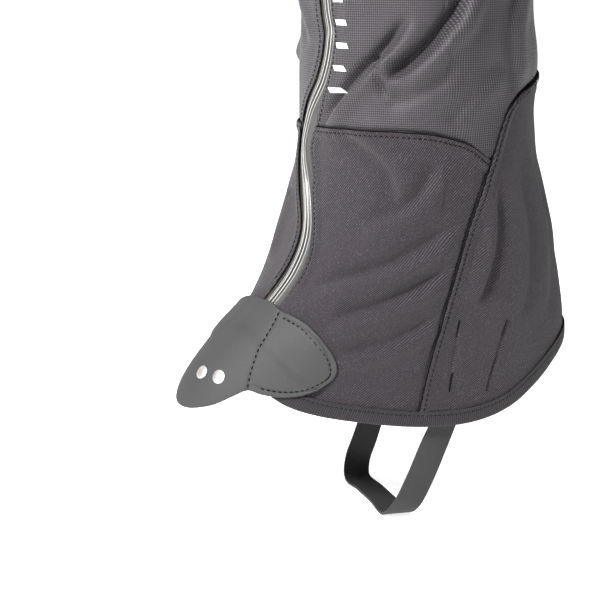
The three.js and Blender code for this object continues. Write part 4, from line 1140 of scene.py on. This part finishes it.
def refined(node, look, body, edge, slim=0.0):
    """A copy of a CAD node with its edges rounded, and slimmer all over by slim."""
    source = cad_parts[node]
    mesh = source.data.copy()
    made = bpy.data.objects.new(node + "_finished", mesh)
    bpy.context.scene.collection.objects.link(made)
    mesh.materials.clear()
    mesh.materials.append(LOOKS[look])
    alone(made)
    bpy.ops.object.mode_set(mode="EDIT")
    bpy.ops.mesh.select_all(action="SELECT")
    bpy.ops.mesh.remove_doubles(threshold=0.00001)
    bpy.ops.mesh.dissolve_limited(angle_limit=math.radians(2))
    bpy.ops.object.mode_set(mode="OBJECT")
    bevel = made.modifiers.new("round_edges", "BEVEL")
    bevel.width, bevel.segments, bevel.limit_method = edge * MM, 3, "ANGLE"
    bevel.angle_limit = math.radians(30)
    bevel.use_clamp_overlap = True
    bpy.ops.object.modifier_apply(modifier=bevel.name)
    if slim:
        bpy.ops.object.mode_set(mode="EDIT")
        bpy.ops.mesh.select_all(action="SELECT")
        bpy.ops.transform.shrink_fatten(value=-slim * MM)
        bpy.ops.object.mode_set(mode="OBJECT")
    bpy.ops.object.shade_smooth_by_angle(angle=math.radians(40))
    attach(made, body)
    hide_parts(node)
    return made


def make_hardware():
    for node, look, body, edge in (
            ("zip_slider", "steel", "slider", 0.35), ("zip_puller", "steel", "puller", 0.3),
            ("zip_retainer_box", "nylon", "cover", 0.3), ("zip_insertion_pin", "nylon", "cover", 0.15),
            ("zip_top_stop_left", "nylon", "cover", 0.25),
            ("zip_top_stop_right", "nylon", "cover", 0.25), ("lace_hook", "steel", "flap", 0.25),
            ("right_rivet_burr", "steel", "flap", 0.12), ("left_rivet_burr", "steel", "flap", 0.12),
            ("buckle_frame", "steel", "cover", 0.1),
            ("strap_keeper", "strap_rubber", "cover", 0.3),
            ("instep_strap", "strap_rubber", "cover", 0.45)):
        refined(node, look, body, edge)
    refined("buckle_prong", "steel", "prong", 0.15, slim=0.14)


def make_rivets():
    """Each rivet is turned: a low domed head, and a shank down through the flap."""
    for side in ("right", "left"):
        corners = np.array([v.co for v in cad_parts[f"{side}_rivet"].data.vertices])
        centre = corners.mean(0)
        axis = np.linalg.svd(corners - centre)[2][0]
        out = centre - np.array([0.0, 0.0, centre[2]])
        axis = axis * np.sign((axis * out).sum())
        reach = (corners - centre) @ axis
        head = centre + axis * (reach.max() - 1.3 * MM)
        tail = centre + axis * reach.min()
        depth = np.linalg.norm(head - tail) / MM
        profile = [(0, 1.3), (0.8, 1.28), (1.6, 1.2), (2.4, 1.04), (3.1, 0.8), (3.6, 0.55),
                   (3.95, 0.3), (4.1, 0.1), (4.05, -0.05), (3.8, -0.15), (1.55, -0.15),
                   (1.5, -0.3), (1.5, -depth + 0.2), (1.35, -depth), (0, -depth)]
        bpy.ops.object.select_all(action="DESELECT")
        bpy.ops.mesh.primitive_circle_add(vertices=3, radius=0.001, calc_uvs=False)
        made = bpy.context.active_object
        made.name = f"{side}_rivet_head"
        bpy.ops.object.mode_set(mode="EDIT")
        bpy.ops.mesh.merge(type="CENTER")
        bpy.ops.transform.translate(value=(0, 0, profile[0][1] * MM))
        for (x, y), (far, level) in zip(profile, profile[1:]):
            bpy.ops.mesh.extrude_region_move(
                TRANSFORM_OT_translate={"value": ((far - x) * MM, 0, (level - y) * MM)})
        bpy.ops.mesh.select_all(action="SELECT")
        bpy.ops.mesh.spin(steps=48, angle=2 * math.pi, center=(0, 0, 0), axis=(0, 0, 1))
        bpy.ops.mesh.select_all(action="SELECT")
        bpy.ops.mesh.remove_doubles(threshold=0.000005)
        bpy.ops.mesh.normals_make_consistent(inside=False)
        bpy.ops.object.mode_set(mode="OBJECT")
        turn = Vector(axis).to_track_quat("Z", "Y").to_matrix().to_4x4()
        made.data.transform(Matrix.Translation(Vector(head)) @ turn)
        made.data.materials.append(LOOKS["rivet"])
        bpy.ops.object.shade_smooth_by_angle(angle=math.radians(50))
        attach(made, "flap")
        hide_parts(f"{side}_rivet")


# ---- Cuff and webbing ----


def level_band(low, high, start, end):
    return patch(straight((start, low), (end, low)), straight((start, high), (end, high)),
                 straight((start, low), (start, high)), straight((end, low), (end, high)))


def make_cuff():
    middle = (CUFF_FOOT + CUFF_TOP) / 2
    half = CUFF_HEIGHT / 2 - 0.3
    start = float(beside_zip(np.array([middle]), 8.0)[0, 0])
    end = 360 + float(beside_zip(np.array([middle]), -8.0)[0, 0])
    places = evenly(straight((start, middle), (end, middle)), 1.1)
    outline = rounded(-half, half, -3.2, 0.9, 1.6, 5)
    extra = [(half - 2.4, 0.62), (half - 3.4, 0.95), (0, 1.25), (-half + 3.4, 0.95), (-half + 2.4, 0.62)]
    profile = outline[:12] + extra + outline[12:]
    made = strip("cuff_cloth", places, profile, "ripstop", "cover")
    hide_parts("cuff_channel", "cuff_elastic")
    for name, height in (("cuff_low_stitches", CUFF_FOOT + 2.8), ("cuff_high_stitches", CUFF_TOP - 2.8)):
        stitches(name, straight((start + 1, height), (end - 1, height)), "cover", 0.62, pitch=2.6)


def make_closing_tab():
    middle = (CUFF_FOOT + CUFF_TOP) / 2
    low, high = middle - 11, middle + 11
    at = lambda across: float(beside_zip(np.array([middle]), across)[0, 0])
    band = level_band(low, high, at(-30.0), at(31.0))
    rest = 0.95

    def lift(angle, level, near, far, foot, top):
        across = near - 30
        return rest + 1.1 + 2.3 * (1 - smooth(across, -8, 10)) + 0 * level

    made = shell("closing_tab_webbing", band, "tape", None, 1.0, 1.0, lift, 0.4)
    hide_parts("cuff_tab", "cuff_tab_base")
    before, after = lay(at(16.0), middle, 1.0), lay(at(12.0), middle, 1.0)
    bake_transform(made)
    for node, body, face in (("cuff_loop_patch", "cover", rest + 0.8),
                             ("cuff_hook_patch", "closing_tab", rest + 1.95)):
        grip = level_band(low + 2, high - 2, at(-28.0), at(-10.0))
        pad = shell(node + "_pile", grip, "elastic", body, 0.8, 0.9, face, 0.3)
        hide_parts(node)
    for node, body, face in (("flap_loop_patch", "cover", 1.15), ("flap_hook_patch", "flap", 2.25)):
        pad = shell(node + "_pile", level_band(98.5, 109.5, -19, -3), "elastic", body, 0.8, 0.9, face, 0.3)
        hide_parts(node)
    box = [(at(17.5), low + 2), (at(29.0), low + 2), (at(29.0), high - 2), (at(17.5), high - 2)]
    for k in range(4):
        stitches(f"closing_tab_stitches_{k + 1}", straight(box[k], box[(k + 1) % 4]), "cover",
                 rest + 1.05, pitch=2.4, inset=0.6)


def make_webbing():
    pad = patch(straight((99.5, 77), (115, 77)), straight((101, 108), (117, 108)),
                straight((99.5, 77), (101, 108)), straight((115, 77), (117, 108)))
    made = shell("strap_backing", pad, "tape", "cover", 0.9, 1.0, -4.1, 0.4)
    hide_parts("strap_anchor_pad")
    refined("buckle_tab", "tape", "cover", 0.25)


def bartack(name, start, end):
    """A dense row of threads that holds the strap's backing."""
    width, lift = 1.2, 0.15
    start, end = np.array(start, float), np.array(end, float)
    count = 16
    rows = start + (end - start) * np.linspace(0, 1, count)[:, None]
    _, way = travel(rows)
    ends = []
    for sign in (-1, 1):
        reach = sign * width / 2
        angle, height = beside(rows, way, reach)
        ends.append(lay(angle, height, lift))
    threads(name, ends[0], ends[1], 0.62 * MM, 0.5 * MM, "cover")


def make_bartacks():
    bartack("left_bartack_1", (100, 109.5), (100.6, 100.5))
    bartack("left_bartack_2", (101.5, 80.5), (101.5, 70.5))
    bartack("left_bartack_3", (118.6, 106.5), (117.2, 98.5))
    bartack("left_bartack_4", (116, 85.5), (114.3, 68.5))


# ---- Generic printed marks ----


def mark(name, place, wide, tall, slant, body, lift):
    """A small printed bar, laid on the cloth. It leans by slant millimetres."""
    corners = [step(place[0], place[1], x, y) for x, y in (
        (-wide / 2 - slant / 2, -tall / 2), (wide / 2 - slant / 2, -tall / 2),
        (-wide / 2 + slant / 2, tall / 2), (wide / 2 + slant / 2, tall / 2))]
    a, b, c, d = [tuple(float(v) for v in corner) for corner in corners]
    bar = patch(straight(a, b), straight(c, d), straight(a, c), straight(b, d))
    return shell(name, bar, "print", body, 0.12, 1.0, lift, 0.1)


# ---- Stage ----


def make_stage():
    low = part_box("instep_strap")[0].z
    bpy.ops.object.select_all(action="DESELECT")
    bpy.ops.mesh.primitive_plane_add(size=60, location=(0, 0, low - 0.0005))
    floor = bpy.context.active_object
    floor.name = "floor"
    material = bpy.data.materials.new("pale_floor")
    material.use_nodes = True
    shader = material.node_tree.nodes["Principled BSDF"]
    shader.inputs["Base Color"].default_value = (0.86, 0.86, 0.86, 1)
    shader.inputs["Roughness"].default_value = 0.9
    shader.inputs["Emission Color"].default_value = (1, 1, 1, 1)
    shader.inputs["Emission Strength"].default_value = 0.8
    floor.data.materials.append(material)
    world = bpy.data.worlds.new("studio")
    world.use_nodes = True
    tree = world.node_tree
    tree.nodes["Background"].inputs["Color"].default_value = (1, 1, 1, 1)
    seen = tree.nodes.new("ShaderNodeLightPath")
    around = tree.nodes.new("ShaderNodeTexCoord")
    split = tree.nodes.new("ShaderNodeSeparateXYZ")
    tree.links.new(around.outputs["Generated"], split.inputs[0])
    dimmer = tree.nodes.new("ShaderNodeMapRange")
    dimmer.inputs["From Min"].default_value = -0.7
    dimmer.inputs["From Max"].default_value = 0.6
    dimmer.inputs["To Min"].default_value = 0.6
    dimmer.inputs["To Max"].default_value = 0.1
    tree.links.new(split.outputs["X"], dimmer.inputs["Value"])
    strength = tree.nodes.new("ShaderNodeMapRange")
    strength.inputs["To Max"].default_value = 1.2
    tree.links.new(dimmer.outputs[0], strength.inputs["To Min"])
    tree.links.new(seen.outputs["Is Camera Ray"], strength.inputs["Value"])
    tree.links.new(strength.outputs[0], tree.nodes["Background"].inputs["Strength"])
    bpy.context.scene.world = world
    bpy.context.scene.view_settings.view_transform = "Standard"
    target = Vector((0, 0, 0.2))
    for name, place, size, power in (("key", (-1.3, -1.0, 1.4), 0.4, 100),
                                     ("edge", (-0.6, 1.5, 0.9), 0.8, 4),
                                     ("top", (-0.3, 0.2, 1.8), 1.2, 9)):
        data = bpy.data.lights.new(name, "AREA")
        data.size, data.energy = size, power
        lamp = bpy.data.objects.new(name, data)
        lamp.location = place
        lamp.rotation_euler = (target - Vector(place)).to_track_quat("-Z", "Y").to_euler()
        bpy.context.scene.collection.objects.link(lamp)


def on_edge(angle, level, *_):
    edge = beside_zip(level, through(LEFT_EDGE, level))[:, 0]
    return 0.16 + lip((angle - edge) * directions(angle, level)[1], 0.8)


def make_marks():
    for k, height in enumerate((229, 240.5, 252, 263.5, 275)):
        place = beside_zip(np.array([height]), 12.2)[0]
        mark(f"printed_bar_{k + 1}", place, 8.0, 2.8, -1.5, "cover", on_edge)


make_stage()
make_panels()
make_seam_stitches()
make_binding()
make_zip()
make_flap()
make_hardware()
make_rivets()
make_cuff()
make_closing_tab()
make_webbing()
make_bartacks()
make_marks()

for name, (width, length, area) in CUTS.items():
    if name.startswith("printed_bar"):
        continue
    if min(width, length) >= 0.01:
        min(area, width * length)
